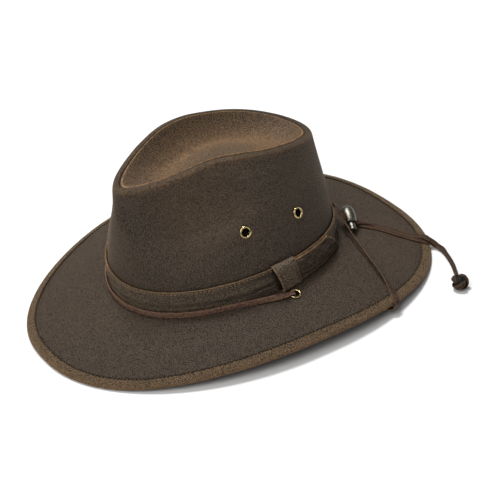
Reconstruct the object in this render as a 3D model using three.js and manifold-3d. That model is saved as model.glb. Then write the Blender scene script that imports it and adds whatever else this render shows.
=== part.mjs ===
// A bush hat of waxed cotton with a teardrop crown, a bound brim and a leather chin lace.
//
// Millimetres. +Z is up, the front of the hat points along -Y and the wearer's left along +X.
// The origin is on the floor under the middle of the brim. Angles are counted in degrees round the
// crown: 0 at the front, 90 at the wearer's left ear, 180 at the back.
import * as THREE from 'three';
import { mergeVertices } from 'three/addons/utils/BufferGeometryUtils.js';
import Module from 'manifold-3d';

const wasm = await Module();
wasm.setup();

// Clearance between pieces that meet
const gap = 0.3;

// Brim: the edge sizes are measured over the binding tape
const brimLength = 364;
const brimBreadth = 290.8;
const brimSquareness = 2.27;
const brimBackFullness = 0.12;
const brimWall = 2.4;
const brimArch = 1.15;
const sideLift = 10.4;
const restShare = 0.43;
const brimRowShares = [0.66, 0.33];

// Binding tape folded over the edge of the brim
const tapeWidth = 8.7;
const tapeWall = 1.0;
const tongueWall = 1.2;
const restWidth = 2.0;
const edgeHalf = tongueWall / 2 + gap + tapeWall;

// Crown: the foot is measured outside the cloth, where the brim meets it
const footLength = 205.8;
const footBreadth = 174.6;
const footCentre = 1.0;
const footHeight = 23.3;
const footSideRise = 8.9;
const crownWall = 2.0;
const crestHeight = 143.2;
const crestLength = 186.6;
const crestBreadth = 99.0;
const crestCentre = 3.4;
const crestWidth = 5.4;
const sideFullness = 3.0;
const pinchDepth = 5.2;

// Sunken top panel
const topWall = 2.0;
const dentDepth = 18;
const dentCentre = 12;
const dentCentreHeight = 132.5;

// Band, its keeper loop and its strap end
const bandHeight = 23.5;
const bandWall = 1.6;
const bandTaper = 1.2;
const bandMiddleShare = 0.55;
const creaseDepth = 0.5;
const creaseShare = 0.36;
const creaseHalfShare = 0.08;
const strapWall = 1.4;
const strapInset = 1.2;
const strapStart = 95;
const strapTopEnd = 126;
const strapTipEnd = 139;
const keeperStart = 87.3;
const keeperEnd = 99.3;
const keeperFootStart = 90.5;
const keeperFootEnd = 101;
const keeperWall = 1.6;
const keeperLipShare = 0.25;
const keeperBrowShare = 0.3;
const keeperSteps = 4;
const strapSteps = 8;

// Eyelets of the crown vents and of the brim
const eyeletHole = 3.3;
const eyeletFlange = 5.15;
const barrelWall = 0.45;
const flangeWall = 0.8;
const flangeClearance = 0.7;
const ventRise = 0.4;
const ventAngles = [80.3, 110.3];
const brimEyeletAngle = 93.7;
const brimEyeletShare = 0.19;

// Leather chin lace and the knot that ends it
const laceWidth = 5.0;
const laceWall = 1.3;
const laceRoundShare = 0.3;
const knotRadius = 7.2;
const knotPlace = [150.3, 141.3, 7.9];
const knotTurns = 3;
const knotRidge = 0.035;

// Cord lock: its place is the middle of its open end, its aim runs out along the button
const lockPlace = [42.46, 108.69, 28.79];
const lockAim = [0.866, -0.353, -0.353];
const lockAcross = [0.003, 0.711, -0.703];
const lockLength = 19;
const lockRadius = 6.3;
const buttonRadius = 3.1;
const buttonStandOut = 7.9;
const buttonInside = 9.5;
const buttonTravel = 2.5;
const neckShare = 0.84;
const capShare = 1.06;
const capChamfer = 0.7;
const capFlatShare = 0.75;
const slotFromEnd = 5.0;

// How many flat faces go round the hat, an eyelet and the cord lock
const hatFacets = 51;
const eyeletFacets = 10;
const lockFacets = 16;

// The crest of the crown and the dent inside it, by angle.
// breadth: share of the crest's half breadth over the sine of the angle.
// height: share of the rise from the foot to the crest's highest point.
// dent: share of the dent's depth. fullness: share of the side's fullness.
// pinch: share of the front pinch's depth.
const crest = [
  { angle: 0, breadth: 0.70, height: 0.878, dent: 0.45, fullness: 0.35, pinch: 0.0 },
  { angle: 15, breadth: 0.71, height: 0.885, dent: 0.50, fullness: 0.40, pinch: 0.05 },
  { angle: 30, breadth: 0.748, height: 0.903, dent: 0.62, fullness: 0.50, pinch: 0.4 },
  { angle: 45, breadth: 0.80, height: 0.930, dent: 0.78, fullness: 0.65, pinch: 1.0 },
  { angle: 60, breadth: 0.846, height: 0.969, dent: 0.90, fullness: 0.85, pinch: 0.85 },
  { angle: 75, breadth: 0.893, height: 1.0, dent: 1.0, fullness: 1.0, pinch: 0.25 },
  { angle: 90, breadth: 0.966, height: 0.983, dent: 1.0, fullness: 1.0, pinch: 0.0 },
  { angle: 105, breadth: 1.035, height: 0.939, dent: 1.0, fullness: 1.0, pinch: 0.0 },
  { angle: 120, breadth: 1.075, height: 0.898, dent: 1.0, fullness: 0.9, pinch: 0.0 },
  { angle: 135, breadth: 1.097, height: 0.855, dent: 0.95, fullness: 0.7, pinch: 0.0 },
  { angle: 150, breadth: 1.107, height: 0.815, dent: 0.85, fullness: 0.5, pinch: 0.0 },
  { angle: 165, breadth: 1.109, height: 0.787, dent: 0.75, fullness: 0.4, pinch: 0.0 },
  { angle: 180, breadth: 1.11, height: 0.777, dent: 0.70, fullness: 0.35, pinch: 0.0 },
];

// The crown's wall from the band to the crest.
// rise: share of the height. full: share of the side's fullness. pinch: share of the front pinch.
const wallRows = [
  { rise: 0.0, full: 0.0, pinch: 0.0 },
  { rise: 0.16, full: 0.75, pinch: 0.0 },
  { rise: 0.36, full: 1.0, pinch: 0.4 },
  { rise: 0.58, full: 0.9, pinch: 0.95 },
  { rise: 0.78, full: 0.55, pinch: 0.95 },
  { rise: 0.92, full: 0.2, pinch: 0.5 },
];

// The crown's shoulder, crest and seam groove.
// across: share of the crest's width, inward from the outer edge. down: mm below the crest.
const crestRows = [
  { across: -0.20, down: 3.6 },
  { across: -0.02, down: 1.0 },
  { across: 0.28, down: 0.0 },
  { across: 0.65, down: 0.1 },
  { across: 0.92, down: 1.7 },
];

// The sunken panel from the seam groove to its middle.
// out: share of the way from the middle to the groove. depth: share of the dent's depth.
const dentRows = [
  { out: 1.0, depth: 0.09 },
  { out: 0.96, depth: 0.10 },
  { out: 0.89, depth: 0.48 },
  { out: 0.79, depth: 0.86 },
  { out: 0.66, depth: 1.0 },
  { out: 0.46, depth: 0.90 },
  { out: 0.22, depth: 0.77 },
  { out: 0.0, depth: 0.72 },
];

// An eyelet's section. out: share of the way from the hole to the flange's rim. up: share of the
// flange's wall, above the cloth's outer face.
const flangeRows = [
  { out: 1.0, up: 0.0 },
  { out: 0.92, up: 0.65 },
  { out: 0.45, up: 1.0 },
  { out: 0.0, up: 0.45 },
];

// The cord lock's outline. along: share of its length from the open end. round: share of its radius.
const lockRows = [
  { along: 0.0, round: 0.76 },
  { along: 0.04, round: 0.83 },
  { along: 0.22, round: 0.95 },
  { along: 0.45, round: 1.0 },
  { along: 0.66, round: 0.96 },
  { along: 0.83, round: 0.79 },
  { along: 0.94, round: 0.50 },
  { along: 0.985, round: 0.25 },
];

// Chosen points of the lace: x, y, z, and the direction that its flat face looks in.
// Over the brim round the front of the crown, from the left eyelet to the middle of the front
const frontLace = [
  [98.3, 9.0, 28.0, 0.28, 0.96, 0],
  [98.8, 9.0, 30.1, 0.28, 0.96, 0.1],
  [99.1, 8.1, 31.5, 0.25, 0.75, 0.6],
  [99.0, 5.8, 32.1, 0.2, 0.25, 0.95],
  [98.5, 2.0, 32.2, 0.45, 0, 0.9],
  [97.3, -3.6, 32.5, 0.8, -0.1, 0.6],
  [95.0, -11.8, 33.0, 0.95, -0.25, 0.25],
  [91.3, -22.5, 33.4, 1, -0.3, 0.1],
  [87.6, -32.1, 33.5, 1, -0.35, 0.05],
  [82.8, -42.3, 32.95, 0.935, -0.354, 0],
  [73.4, -61.6, 31.45, 0.85, -0.527, 0],
  [60.8, -78.1, 29.65, 0.726, -0.687, 0],
  [45.4, -91.2, 27.95, 0.561, -0.828, 0],
  [28.1, -100.2, 26.65, 0.356, -0.935, 0],
  [9.5, -104.8, 25.95, 0.122, -0.992, 0],
];

// Under the brim from the left eyelet and round the brim's edge
const underLace = [
  [98.2, 9.0, 27.6, -0.28, -0.96, 0],
  [97.75, 8.9, 25.5, -0.35, -0.93, -0.1],
  [97.6, 9.3, 23.9, -0.35, -0.7, -0.6],
  [98.8, 11.0, 22.9, -0.1, -0.2, -1],
  [101.3, 14.4, 22.8, 0, 0, -1],
  [105.0, 19.8, 22.5, 0, 0, -1],
  [112.0, 30.5, 20.6, 0, 0, -1],
  [120.0, 42.7, 17.3, 0, 0, -1],
  [130.0, 58.2, 12.5, 0, 0, -1],
  [136.8, 68.6, 7.9, 0, 0, -1],
  [141.9, 75.6, 6.0, 0.3, 0, -1],
  [143.7, 77.6, 7.0, 1, 0.3, -1],
  [144.1, 79.0, 9.4, 1, 0.3, 0],
  [143.0, 80.0, 11.9, 1, 0.3, 1],
  [140.2, 80.6, 13.1, 0.2, 0, 1],
];

// From the brim's left edge to the cord lock and through it
const leftStrand = [
  [136.2, 82.3, 13.9, 0.15, 0.1, 1],
  [128.4, 84.6, 16.3, 0.15, 0.4, 0.9],
  [118.2, 86.6, 19.8, 0.2, 0.8, 0.55],
  [105.4, 88.4, 22.6, 0.25, 0.92, 0.35],
  [89.5, 91.1, 25.5, 0.28, 0.92, 0.29],
  [74.5, 94.1, 28.0, 0.28, 0.92, 0.29],
  [59.0, 97.7, 30.1, 0.28, 0.92, 0.29],
  [50.5, 99.9, 32.4, 0.35, 0.85, 0.4],
  [43.8, 100.4, 37.0, 0.499, 0.608, 0.617],
  [41.2, 101.4, 38.2, 0.499, 0.608, 0.617],
  [39.3, 103.6, 37.9, 0.499, 0.608, 0.617],
  [38.5, 106.1, 35.8, 0.499, 0.608, 0.617],
  [38.55, 115.8, 26.25, 0.499, 0.608, 0.617],
];

// From the brim's right edge, behind the crown, to the cord lock and through it
const rightStrand = [
  [-136.0, 82.3, 13.9, 0, 0.1, 1],
  [-128.4, 83.6, 16.0, 0, 0, 1],
  [-116.0, 85.9, 18.4, 0, 0, 1],
  [-91.5, 91.0, 22.3, 0, 0, 1],
  [-67.0, 96.5, 24.4, 0, 0.1, 1],
  [-43.0, 103.0, 25.6, 0, 0.4, 0.9],
  [-20.0, 108.5, 27.2, 0, 0.8, 0.6],
  [0.0, 109.8, 30.4, 0, 0.95, 0.3],
  [12.0, 109.1, 34.6, 0.2, 0.9, 0.4],
  [20.5, 107.2, 38.9, 0.35, 0.75, 0.55],
  [27.2, 104.9, 41.6, 0.499, 0.608, 0.617],
  [33.4, 103.3, 40.1, 0.499, 0.608, 0.617],
  [36.45, 103.1, 37.75, 0.499, 0.608, 0.617],
  [37.7, 105.1, 34.8, 0.499, 0.608, 0.617],
  [37.75, 114.8, 25.3, 0.499, 0.608, 0.617],
];

// The doubled tail from the cord lock over the brim's edge and along the floor to the knot
const leftTail = [
  [38.4, 118.6, 24.5, 0.4, 0.55, 0.75],
  [38.0, 122.2, 22.7, 0.15, 0.35, 0.9],
  [38.5, 126.7, 20.4, 0, 0.2, 1],
  [41.0, 131.8, 17.5, -0.1, 0.15, 1],
  [46.2, 136.8, 15.4, -0.1, 0.12, 1],
  [55.2, 144.0, 12.75, -0.1, 0.12, 1],
  [62.5, 149.4, 10.6, -0.1, 0.12, 1],
  [68.6, 154.0, 8.7, -0.1, 0.12, 1],
  [73.0, 158.6, 8.0, -0.05, 0.1, 1],
  [78.0, 160.8, 9.1, 0, 0, 1],
  [82.6, 161.8, 8.6, 0.2, 0.15, 0.95],
  [87.3, 164.4, 6.0, 0.5, 0.4, 0.75],
  [91.1, 165.8, 3.5, 0.3, 0.25, 0.9],
  [95.5, 166.0, 2.8, 0, 0, 1],
  [99.5, 165.2, 2.75, 0, 0, 1],
  [110.6, 161.6, 2.75, 0, 0, 1],
  [121.3, 157.3, 2.75, 0, 0, 1],
  [132.2, 151.2, 3.3, 0, 0, 1],
  [143.45, 144.6, 6.6, -0.3, 0.1, 0.9],
];
const rightTail = [
  [38.2, 117.4, 22.7, 0.35, 0.45, 0.8],
  [40.0, 121.1, 20.4, 0.05, 0.25, 0.95],
  [43.5, 125.5, 18.65, -0.1, 0.12, 1],
  [49.9, 133.0, 16.1, -0.1, 0.12, 1],
  [58.5, 139.8, 13.55, -0.1, 0.12, 1],
  [65.7, 145.1, 11.35, -0.1, 0.12, 1],
  [71.8, 149.8, 9.4, -0.1, 0.12, 1],
  [77.0, 154.4, 8.0, -0.08, 0.1, 1],
  [81.2, 158.5, 6.7, 0, 0.05, 1],
  [84.7, 161.7, 5.4, 0.25, 0.2, 0.9],
  [87.6, 164.3, 3.1, 0.5, 0.4, 0.75],
  [91.0, 166.1, 1.5, 0.3, 0.25, 0.9],
  [95.3, 166.8, 1.1, 0, 0, 1],
  [99.2, 165.9, 1.1, 0, 0, 1],
  [110.3, 162.1, 1.1, 0, 0, 1],
  [121.0, 157.8, 1.1, 0, 0, 1],
  [132.2, 151.9, 1.3, 0, 0, 1],
  [144.05, 144.7, 4.6, -0.3, 0.1, 0.9],
];

const radians = THREE.MathUtils.degToRad;
const mix = THREE.MathUtils.lerp;

// Reads a column of a half-turn table at any angle, on a smooth curve that is the same on both sides
function column(table, name, angle) {
  const turned = Math.abs(((angle + 180) % 360 + 360) % 360 - 180);
  const step = table[1].angle - table[0].angle;
  const row = Math.min(Math.floor(turned / step), table.length - 2);
  const at = (index) => {
    const folded = Math.abs(index);
    const last = table.length - 1;
    return table[folded > last ? 2 * last - folded : folded][name];
  };
  const s = turned / step - row;
  const before = at(row - 1);
  const from = at(row);
  const to = at(row + 1);
  const after = at(row + 2);
  const bend = 2 * before - 5 * from + 4 * to - after;
  const twist = -before + 3 * from - 3 * to + after;
  return from + 0.5 * s * (to - before + s * (bend + s * twist));
}

// Plan points. Each outline is an offset of the crown's foot, the crest or the brim's edge
function footPoint(angle, outset, height) {
  const x = (footBreadth / 2 + outset) * Math.sin(radians(angle));
  const y = footCentre - (footLength / 2 + outset) * Math.cos(radians(angle));
  return new THREE.Vector3(x, y, height);
}

function footTop(angle) {
  return footHeight + footSideRise * Math.sin(radians(angle)) ** 2;
}

function crestPoint(angle) {
  const x = crestBreadth / 2 * column(crest, 'breadth', angle) * Math.sin(radians(angle));
  const y = crestCentre - crestLength / 2 * Math.cos(radians(angle));
  const z = footHeight + (crestHeight - footHeight) * column(crest, 'height', angle);
  return new THREE.Vector3(x, y, z);
}

// The level direction that points out of the crest at an angle
function crestOutward(angle) {
  const along = crestPoint(angle + 2).sub(crestPoint(angle - 2)).setZ(0).normalize();
  return new THREE.Vector3(along.y, -along.x, 0);
}

function edgePoint(angle) {
  const c = Math.cos(radians(angle));
  const s = Math.sin(radians(angle));
  const power = 2 / brimSquareness;
  const x = Math.sign(s) * Math.abs(s) ** power * brimBreadth / 2 * (1 - brimBackFullness * c);
  const y = -Math.sign(c) * Math.abs(c) ** power * brimLength / 2;
  const lifted = Math.max(0, (Math.abs(s) - restShare) / (1 - restShare));
  return new THREE.Vector3(x, y, edgeHalf + sideLift * lifted ** 2);
}

// A point of the brim, counted inward from its bound edge, and lifted from its middle surface
function brimFromEdge(angle, inward, lift) {
  const edge = edgePoint(angle);
  const foot = footPoint(angle, gap, footTop(angle) - brimWall / 2);
  const width = Math.hypot(edge.x - foot.x, edge.y - foot.y);
  const share = 1 - inward / width;
  return new THREE.Vector3(
    mix(foot.x, edge.x, share),
    mix(foot.y, edge.y, share),
    mix(foot.z, edge.z, Math.sign(share) * Math.abs(share) ** brimArch) + lift,
  );
}

function brimWidth(angle) {
  const edge = edgePoint(angle);
  const foot = footPoint(angle, gap, 0);
  return Math.hypot(edge.x - foot.x, edge.y - foot.y);
}

function brimAt(angle, share, lift) {
  return brimFromEdge(angle, (1 - share) * brimWidth(angle), lift);
}

// The outside of the crown: a share of 0 is at the top of the band and 1 at the crest
function wallPoint(angle, rise, full, pinch) {
  const low = footPoint(angle, -bandTaper, footTop(angle) + bandHeight);
  const high = crestPoint(angle);
  const out = crestOutward(angle);
  high.addScaledVector(out, crestRows[0].across * -crestWidth);
  high.z -= crestRows[0].down;
  const point = low.lerp(high, rise);
  const away = sideFullness * column(crest, 'fullness', angle) * full
    - pinchDepth * column(crest, 'pinch', angle) * pinch;
  return point.addScaledVector(out, away);
}

function crestRowPoint(angle, row) {
  const point = crestPoint(angle).addScaledVector(crestOutward(angle), -row.across * crestWidth);
  point.z -= row.down;
  return point;
}

// Geometry from points: triangles with merged corners, flat shaded
function geometryOf(points, triangles) {
  const geometry = new THREE.BufferGeometry();
  geometry.setAttribute('position', new THREE.Float32BufferAttribute(points.flatMap((p) => p.toArray()), 3));
  geometry.setIndex(triangles.flat());
  return geometry;
}

// Sections of the same number of points, joined into a closed ring or a strip with flat ends
function joinSections(sections, closed) {
  const count = sections[0].length;
  const triangles = [];
  const joins = closed ? sections.length : sections.length - 1;
  for (let i = 0; i < joins; i += 1) {
    const j = (i + 1) % sections.length;
    for (let k = 0; k < count; k += 1) {
      const l = (k + 1) % count;
      const a = i * count + k;
      const b = i * count + l;
      const c = j * count + k;
      const d = j * count + l;
      triangles.push([a, c, b], [b, c, d]);
    }
  }
  if (!closed) {
    const last = (sections.length - 1) * count;
    for (const [a, b, c] of endTriangles(sections[0])) {
      triangles.push([a, b, c]);
    }
    for (const [a, b, c] of endTriangles(sections.at(-1))) {
      triangles.push([last + a, last + c, last + b]);
    }
  }
  return geometryOf(sections.flat(), triangles);
}

// Triangles that fill a flat section, worked out with the section laid level
function endTriangles(section) {
  const normal = new THREE.Vector3();
  section.forEach((point, k) => {
    normal.add(point.clone().cross(section[(k + 1) % section.length]));
  });
  const level = new THREE.Quaternion().setFromUnitVectors(normal.normalize(), new THREE.Vector3(0, 0, 1));
  const flat = section.map((point) => point.clone().applyQuaternion(level));
  return THREE.ShapeUtils.triangulateShape(flat.map(({ x, y }) => new THREE.Vector2(x, y)), []);
}

// Sections that all start and end at the same two middle points, joined into a dish
function joinDish(sections) {
  const inner = sections[0].length - 2;
  const points = [sections[0][0], sections[0][inner + 1]];
  for (const section of sections) {
    points.push(...section.slice(1, -1));
  }
  const triangles = [];
  for (let i = 0; i < sections.length; i += 1) {
    const here = 2 + i * inner;
    const next = 2 + ((i + 1) % sections.length) * inner;
    triangles.push([0, here, next]);
    for (let k = 0; k < inner - 1; k += 1) {
      triangles.push([here + k, here + k + 1, next + k], [here + k + 1, next + k + 1, next + k]);
    }
    triangles.push([here + inner - 1, 1, next + inner - 1]);
  }
  return geometryOf(points, triangles);
}

// Moves each point of a curved row inside by the wall, square to the row and to its neighbours
function insideRow(pointAt, angle, rows, index, wall) {
  const low = pointAt(angle, rows[Math.max(index - 1, 0)]);
  const high = pointAt(angle, rows[Math.min(index + 1, rows.length - 1)]);
  const along = pointAt(angle + 2, rows[index]).sub(pointAt(angle - 2, rows[index]));
  const normal = along.cross(high.sub(low)).normalize();
  return pointAt(angle, rows[index]).addScaledVector(normal, -wall);
}

function anglesOf(count) {
  return Array.from({ length: count }, (_, i) => i * 360 / count);
}

// Solids for cutting and joining
function toManifold(geometry) {
  const bare = geometry.clone();
  bare.deleteAttribute('normal');
  bare.deleteAttribute('uv');
  const merged = mergeVertices(bare, 1e-4);
  const vertProperties = new Float32Array(merged.attributes.position.array);
  const triVerts = new Uint32Array(merged.index.array);
  return new wasm.Manifold(new wasm.Mesh({ numProp: 3, vertProperties, triVerts }));
}

function fromManifold(solid) {
  const mesh = solid.getMesh();
  const geometry = new THREE.BufferGeometry();
  geometry.setAttribute('position', new THREE.Float32BufferAttribute(mesh.vertProperties, 3));
  geometry.setIndex(Array.from(mesh.triVerts));
  return geometry;
}

function cut(geometry, tools) {
  let solid = toManifold(geometry);
  for (const tool of tools) {
    solid = solid.subtract(toManifold(tool));
  }
  return fromManifold(solid);
}

// Puts a geometry made along +Z at a point, with +Z turned to a direction
function aimed(geometry, point, direction) {
  const turn = new THREE.Quaternion().setFromUnitVectors(new THREE.Vector3(0, 0, 1), direction);
  return geometry.clone().applyQuaternion(turn).translate(point.x, point.y, point.z);
}

// The pieces of cloth
const crownRows = [
  { foot: true, drop: brimWall },
  { foot: true, drop: -bandHeight * bandMiddleShare },
  ...wallRows,
  ...crestRows,
];

function crownPoint(angle, row) {
  if (row.foot) {
    const share = Math.max(-row.drop / bandHeight, 0);
    return footPoint(angle, -bandTaper * share, footTop(angle) - row.drop);
  }
  if ('rise' in row) {
    return wallPoint(angle, row.rise, row.full, row.pinch);
  }
  return crestRowPoint(angle, row);
}

function crownSide() {
  const sections = anglesOf(hatFacets).map((angle) => {
    const outside = crownRows.map((row) => crownPoint(angle, row));
    const inside = crownRows.map((row, index) => insideRow(crownPoint, angle, crownRows, index, crownWall));
    inside[0].z = outside[0].z;
    return [...outside, ...inside.reverse()];
  });
  return joinSections(sections, true);
}

// The sunken panel meets the crest's seam edge, and stops short of the wall folded down inside it
function topPoint(angle, row) {
  const seam = crestPoint(angle).addScaledVector(crestOutward(angle), -crestWidth - gap);
  const x = seam.x * row.out;
  const y = mix(dentCentre, seam.y, row.out);
  const z = mix(dentCentreHeight, seam.z, row.out ** 1.5);
  return new THREE.Vector3(x, y, z - dentDepth * row.depth * mix(1, column(crest, 'dent', angle), row.out));
}

function crownTop() {
  const middle = topPoint(0, dentRows.at(-1));
  const sections = anglesOf(hatFacets).map((angle) => {
    const rows = dentRows.slice(0, -1);
    const above = rows.map((row) => topPoint(angle, row)).reverse();
    const below = rows.map((row, index) => topPoint(angle, row).setZ(topPoint(angle, row).z - topWall));
    return [middle.clone(), ...above, ...below, middle.clone().setZ(middle.z - topWall)];
  });
  return joinDish(sections);
}

function brim() {
  const step = tapeWidth + gap;
  const end = tapeWall + gap;
  const sections = anglesOf(hatFacets).map((angle) => {
    const width = brimWidth(angle);
    const inner = [width, ...brimRowShares.map((share) => width * share), step];
    const above = inner.map((inward) => brimFromEdge(angle, inward, brimWall / 2));
    const below = inner.map((inward) => brimFromEdge(angle, inward, -brimWall / 2));
    const tongue = [step, end].map((inward) => brimFromEdge(angle, inward, tongueWall / 2));
    const under = [end, step].map((inward) => brimFromEdge(angle, inward, -tongueWall / 2));
    return [...below, ...under.reverse(), ...tongue.reverse(), ...above.reverse()];
  });
  return joinSections(sections, true);
}

function binding() {
  const inside = tongueWall / 2 + gap;
  const sections = anglesOf(hatFacets).map((angle) => {
    const low = brimFromEdge(angle, 0, -edgeHalf).z;
    const rest = [tapeWall, tapeWall + restWidth].map((inward) => brimFromEdge(angle, inward, 0).setZ(low));
    return [
      brimFromEdge(angle, tapeWidth, inside),
      brimFromEdge(angle, tapeWall, inside),
      brimFromEdge(angle, tapeWall, -inside),
      brimFromEdge(angle, tapeWidth, -inside),
      brimFromEdge(angle, tapeWidth, -edgeHalf),
      rest[1],
      rest[0],
      brimFromEdge(angle, 0, -inside),
      brimFromEdge(angle, 0, inside),
      brimFromEdge(angle, tapeWall, edgeHalf),
      brimFromEdge(angle, tapeWidth, edgeHalf),
    ];
  });
  return joinSections(sections, true);
}

// The band's outer face at a height share, set out from the crown's foot
function bandPoint(angle, share, outset) {
  const height = mix(gap, bandHeight, share);
  return footPoint(angle, gap + outset - bandTaper * share, footTop(angle) + height);
}

function band() {
  const sections = anglesOf(hatFacets).map((angle) => [
    bandPoint(angle, 0, 0),
    bandPoint(angle, 0, bandWall),
    bandPoint(angle, creaseShare - creaseHalfShare, bandWall),
    bandPoint(angle, creaseShare, bandWall - creaseDepth),
    bandPoint(angle, creaseShare + creaseHalfShare, bandWall),
    bandPoint(angle, 1, bandWall),
    bandPoint(angle, 1, 0),
  ]);
  return joinSections(sections, true);
}

// The strap's end is cut on a slant, from its top corner down to its tip
function strapEnd() {
  const inner = bandWall + gap;
  const margin = strapInset / bandHeight;
  const rows = [0, 1 / 3, 2 / 3, 1];
  const sections = Array.from({ length: strapSteps + 1 }, (_, i) => {
    const corner = (up, outset) => {
      const end = mix(strapTipEnd, strapTopEnd, up);
      return bandPoint(mix(strapStart, end, i / strapSteps), mix(margin, 1 - margin, up), outset);
    };
    const back = rows.map((up) => corner(up, inner));
    const front = rows.map((up) => corner(up, inner + strapWall));
    return [...front, ...back.reverse()];
  });
  return joinSections(sections, false);
}

// The keeper stands off over the strap, on a slant, and returns to the band above and below it
function keeper() {
  const back = bandWall + gap;
  const front = back + strapWall + gap;
  const foot = strapInset / bandHeight;
  const lip = foot * keeperLipShare;
  const top = 1 + gap / bandHeight;
  const hood = keeperWall / bandHeight;
  const brow = 1 + hood * keeperBrowShare;
  const sections = Array.from({ length: keeperSteps + 1 }, (_, i) => {
    const across = i / keeperSteps;
    const at = (share, outset) => {
      const start = mix(keeperFootStart, keeperStart, share);
      const end = mix(keeperFootEnd, keeperEnd, share);
      return bandPoint(mix(start, end, across), share, outset);
    };
    return [
      at(lip, back),
      at(lip, front + keeperWall),
      at(brow, front + keeperWall),
      at(1 + hood, front),
      at(1 + hood, 0),
      at(top, 0),
      at(top, front),
      at(foot - gap / bandHeight, front),
      at(foot - gap / bandHeight, back),
    ];
  });
  return joinSections(sections, false);
}

// An eyelet through a wall: a flange outside, a barrel, and the barrel's end turned over inside
function eyelet(wall) {
  const barrel = eyeletHole + barrelWall;
  const across = eyeletFlange - eyeletHole;
  const outside = flangeRows.map((row) => [eyeletHole + row.out * across, flangeClearance + row.up * flangeWall]);
  const inside = outside.map(([r, z]) => [r, -wall - z]).reverse();
  const neck = [[barrel, -wall - flangeClearance], [barrel, flangeClearance]];
  const profile = [...outside, ...inside, ...neck];
  const points = [...profile, profile[0]].map(([r, z]) => new THREE.Vector2(r, z));
  return new THREE.LatheGeometry(points, eyeletFacets).rotateX(Math.PI / 2);
}

function eyeletHoleCutter() {
  const radius = eyeletHole + barrelWall + gap;
  return new THREE.CylinderGeometry(radius, radius, eyeletFlange * 2, eyeletFacets).rotateX(Math.PI / 2);
}

// Where an eyelet sits: a point of a surface, and the surface's outward direction there
function seatOn(surface, angle, share) {
  const point = surface(angle, share);
  const along = surface(angle + 1, share).sub(surface(angle - 1, share));
  const up = surface(angle, share + 0.02).sub(surface(angle, share - 0.02));
  return { point, direction: along.cross(up).normalize() };
}

function wallAt(angle, rise) {
  const high = wallRows.findIndex((row) => row.rise > rise);
  const from = wallRows[high - 1];
  const to = wallRows[high];
  const s = (rise - from.rise) / (to.rise - from.rise);
  return wallPoint(angle, rise, mix(from.full, to.full, s), mix(from.pinch, to.pinch, s));
}

function brimTopInward(angle, share) {
  return brimAt(angle, 1 - share, brimWall / 2);
}

// A flat lace along chosen points, with its face turned by the directions beside them
class LacePath extends THREE.CatmullRomCurve3 {
  constructor(rows) {
    super(rows.map(([x, y, z]) => new THREE.Vector3(x, y, z)), false, 'centripetal');
    this.faces = rows.map((row) => new THREE.Vector3(...row.slice(3)).normalize());
  }

  getSpacedPoints(divisions) {
    return this.getPoints(divisions);
  }

  computeFrenetFrames(segments) {
    const frames = { tangents: [], normals: [], binormals: [] };
    for (let i = 0; i <= segments; i += 1) {
      const place = i / segments * (this.faces.length - 1);
      const row = Math.min(Math.floor(place), this.faces.length - 2);
      const tangent = this.getTangent(i / segments);
      const normal = this.faces[row].clone().lerp(this.faces[row + 1], place - row);
      normal.addScaledVector(tangent, -normal.dot(tangent)).normalize();
      frames.tangents.push(tangent);
      frames.normals.push(normal);
      frames.binormals.push(tangent.clone().cross(normal));
    }
    return frames;
  }
}

function laceShape() {
  const half = laceWall / 2;
  const side = laceWidth / 2;
  const round = laceWall * laceRoundShare;
  return new THREE.Shape([
    new THREE.Vector2(-half, -side + round),
    new THREE.Vector2(-half + round, -side),
    new THREE.Vector2(half - round, -side),
    new THREE.Vector2(half, -side + round),
    new THREE.Vector2(half, side - round),
    new THREE.Vector2(half - round, side),
    new THREE.Vector2(-half + round, side),
    new THREE.Vector2(-half, side - round),
  ]);
}

function lace(rows) {
  const options = {
    extrudePath: new LacePath(rows),
    steps: rows.length - 1,
    curveSegments: 1,
    bevelEnabled: false,
  };
  return new THREE.ExtrudeGeometry(laceShape(), options);
}

function mirrored(rows) {
  return rows.map(([x, y, z, fx, fy, fz]) => [-x, y, z, -fx, fy, fz]);
}

// A round knot with the lace's three turns showing as ridges
function knot() {
  const geometry = new THREE.IcosahedronGeometry(knotRadius, 2);
  const corner = geometry.attributes.position;
  const point = new THREE.Vector3();
  for (let i = 0; i < corner.count; i += 1) {
    point.fromBufferAttribute(corner, i);
    const turn = Math.atan2(point.z, point.x);
    const ridge = knotRidge * Math.cos(knotTurns * turn + point.y / knotRadius * 2);
    point.multiplyScalar(1 + ridge);
    corner.setXYZ(i, point.x, point.y, point.z);
  }
  return geometry.translate(...knotPlace);
}

// Cord lock: a domed body with a bore for the button, both slotted for the two strands
function slotCutter(length, middle) {
  const height = 2 * laceWall + 3 * gap;
  return new THREE.BoxGeometry(lockRadius * 3, height, length).translate(0, 0, middle);
}

function lockBody() {
  const outline = lockRows.map((row) => new THREE.Vector2(row.round * lockRadius, -row.along * lockLength));
  const profile = [new THREE.Vector2(0, -lockLength), ...outline.reverse(), new THREE.Vector2(0, 0)];
  const body = new THREE.LatheGeometry(profile, lockFacets).rotateX(Math.PI / 2);
  const boreRadius = buttonRadius + gap;
  const boreDepth = buttonInside + buttonTravel + 2 * gap;
  const bore = new THREE.CylinderGeometry(boreRadius, boreRadius, 2 * boreDepth, lockFacets).rotateX(Math.PI / 2);
  return cut(body, [bore, slotCutter(laceWidth + 2 * gap, -slotFromEnd)]);
}

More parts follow.
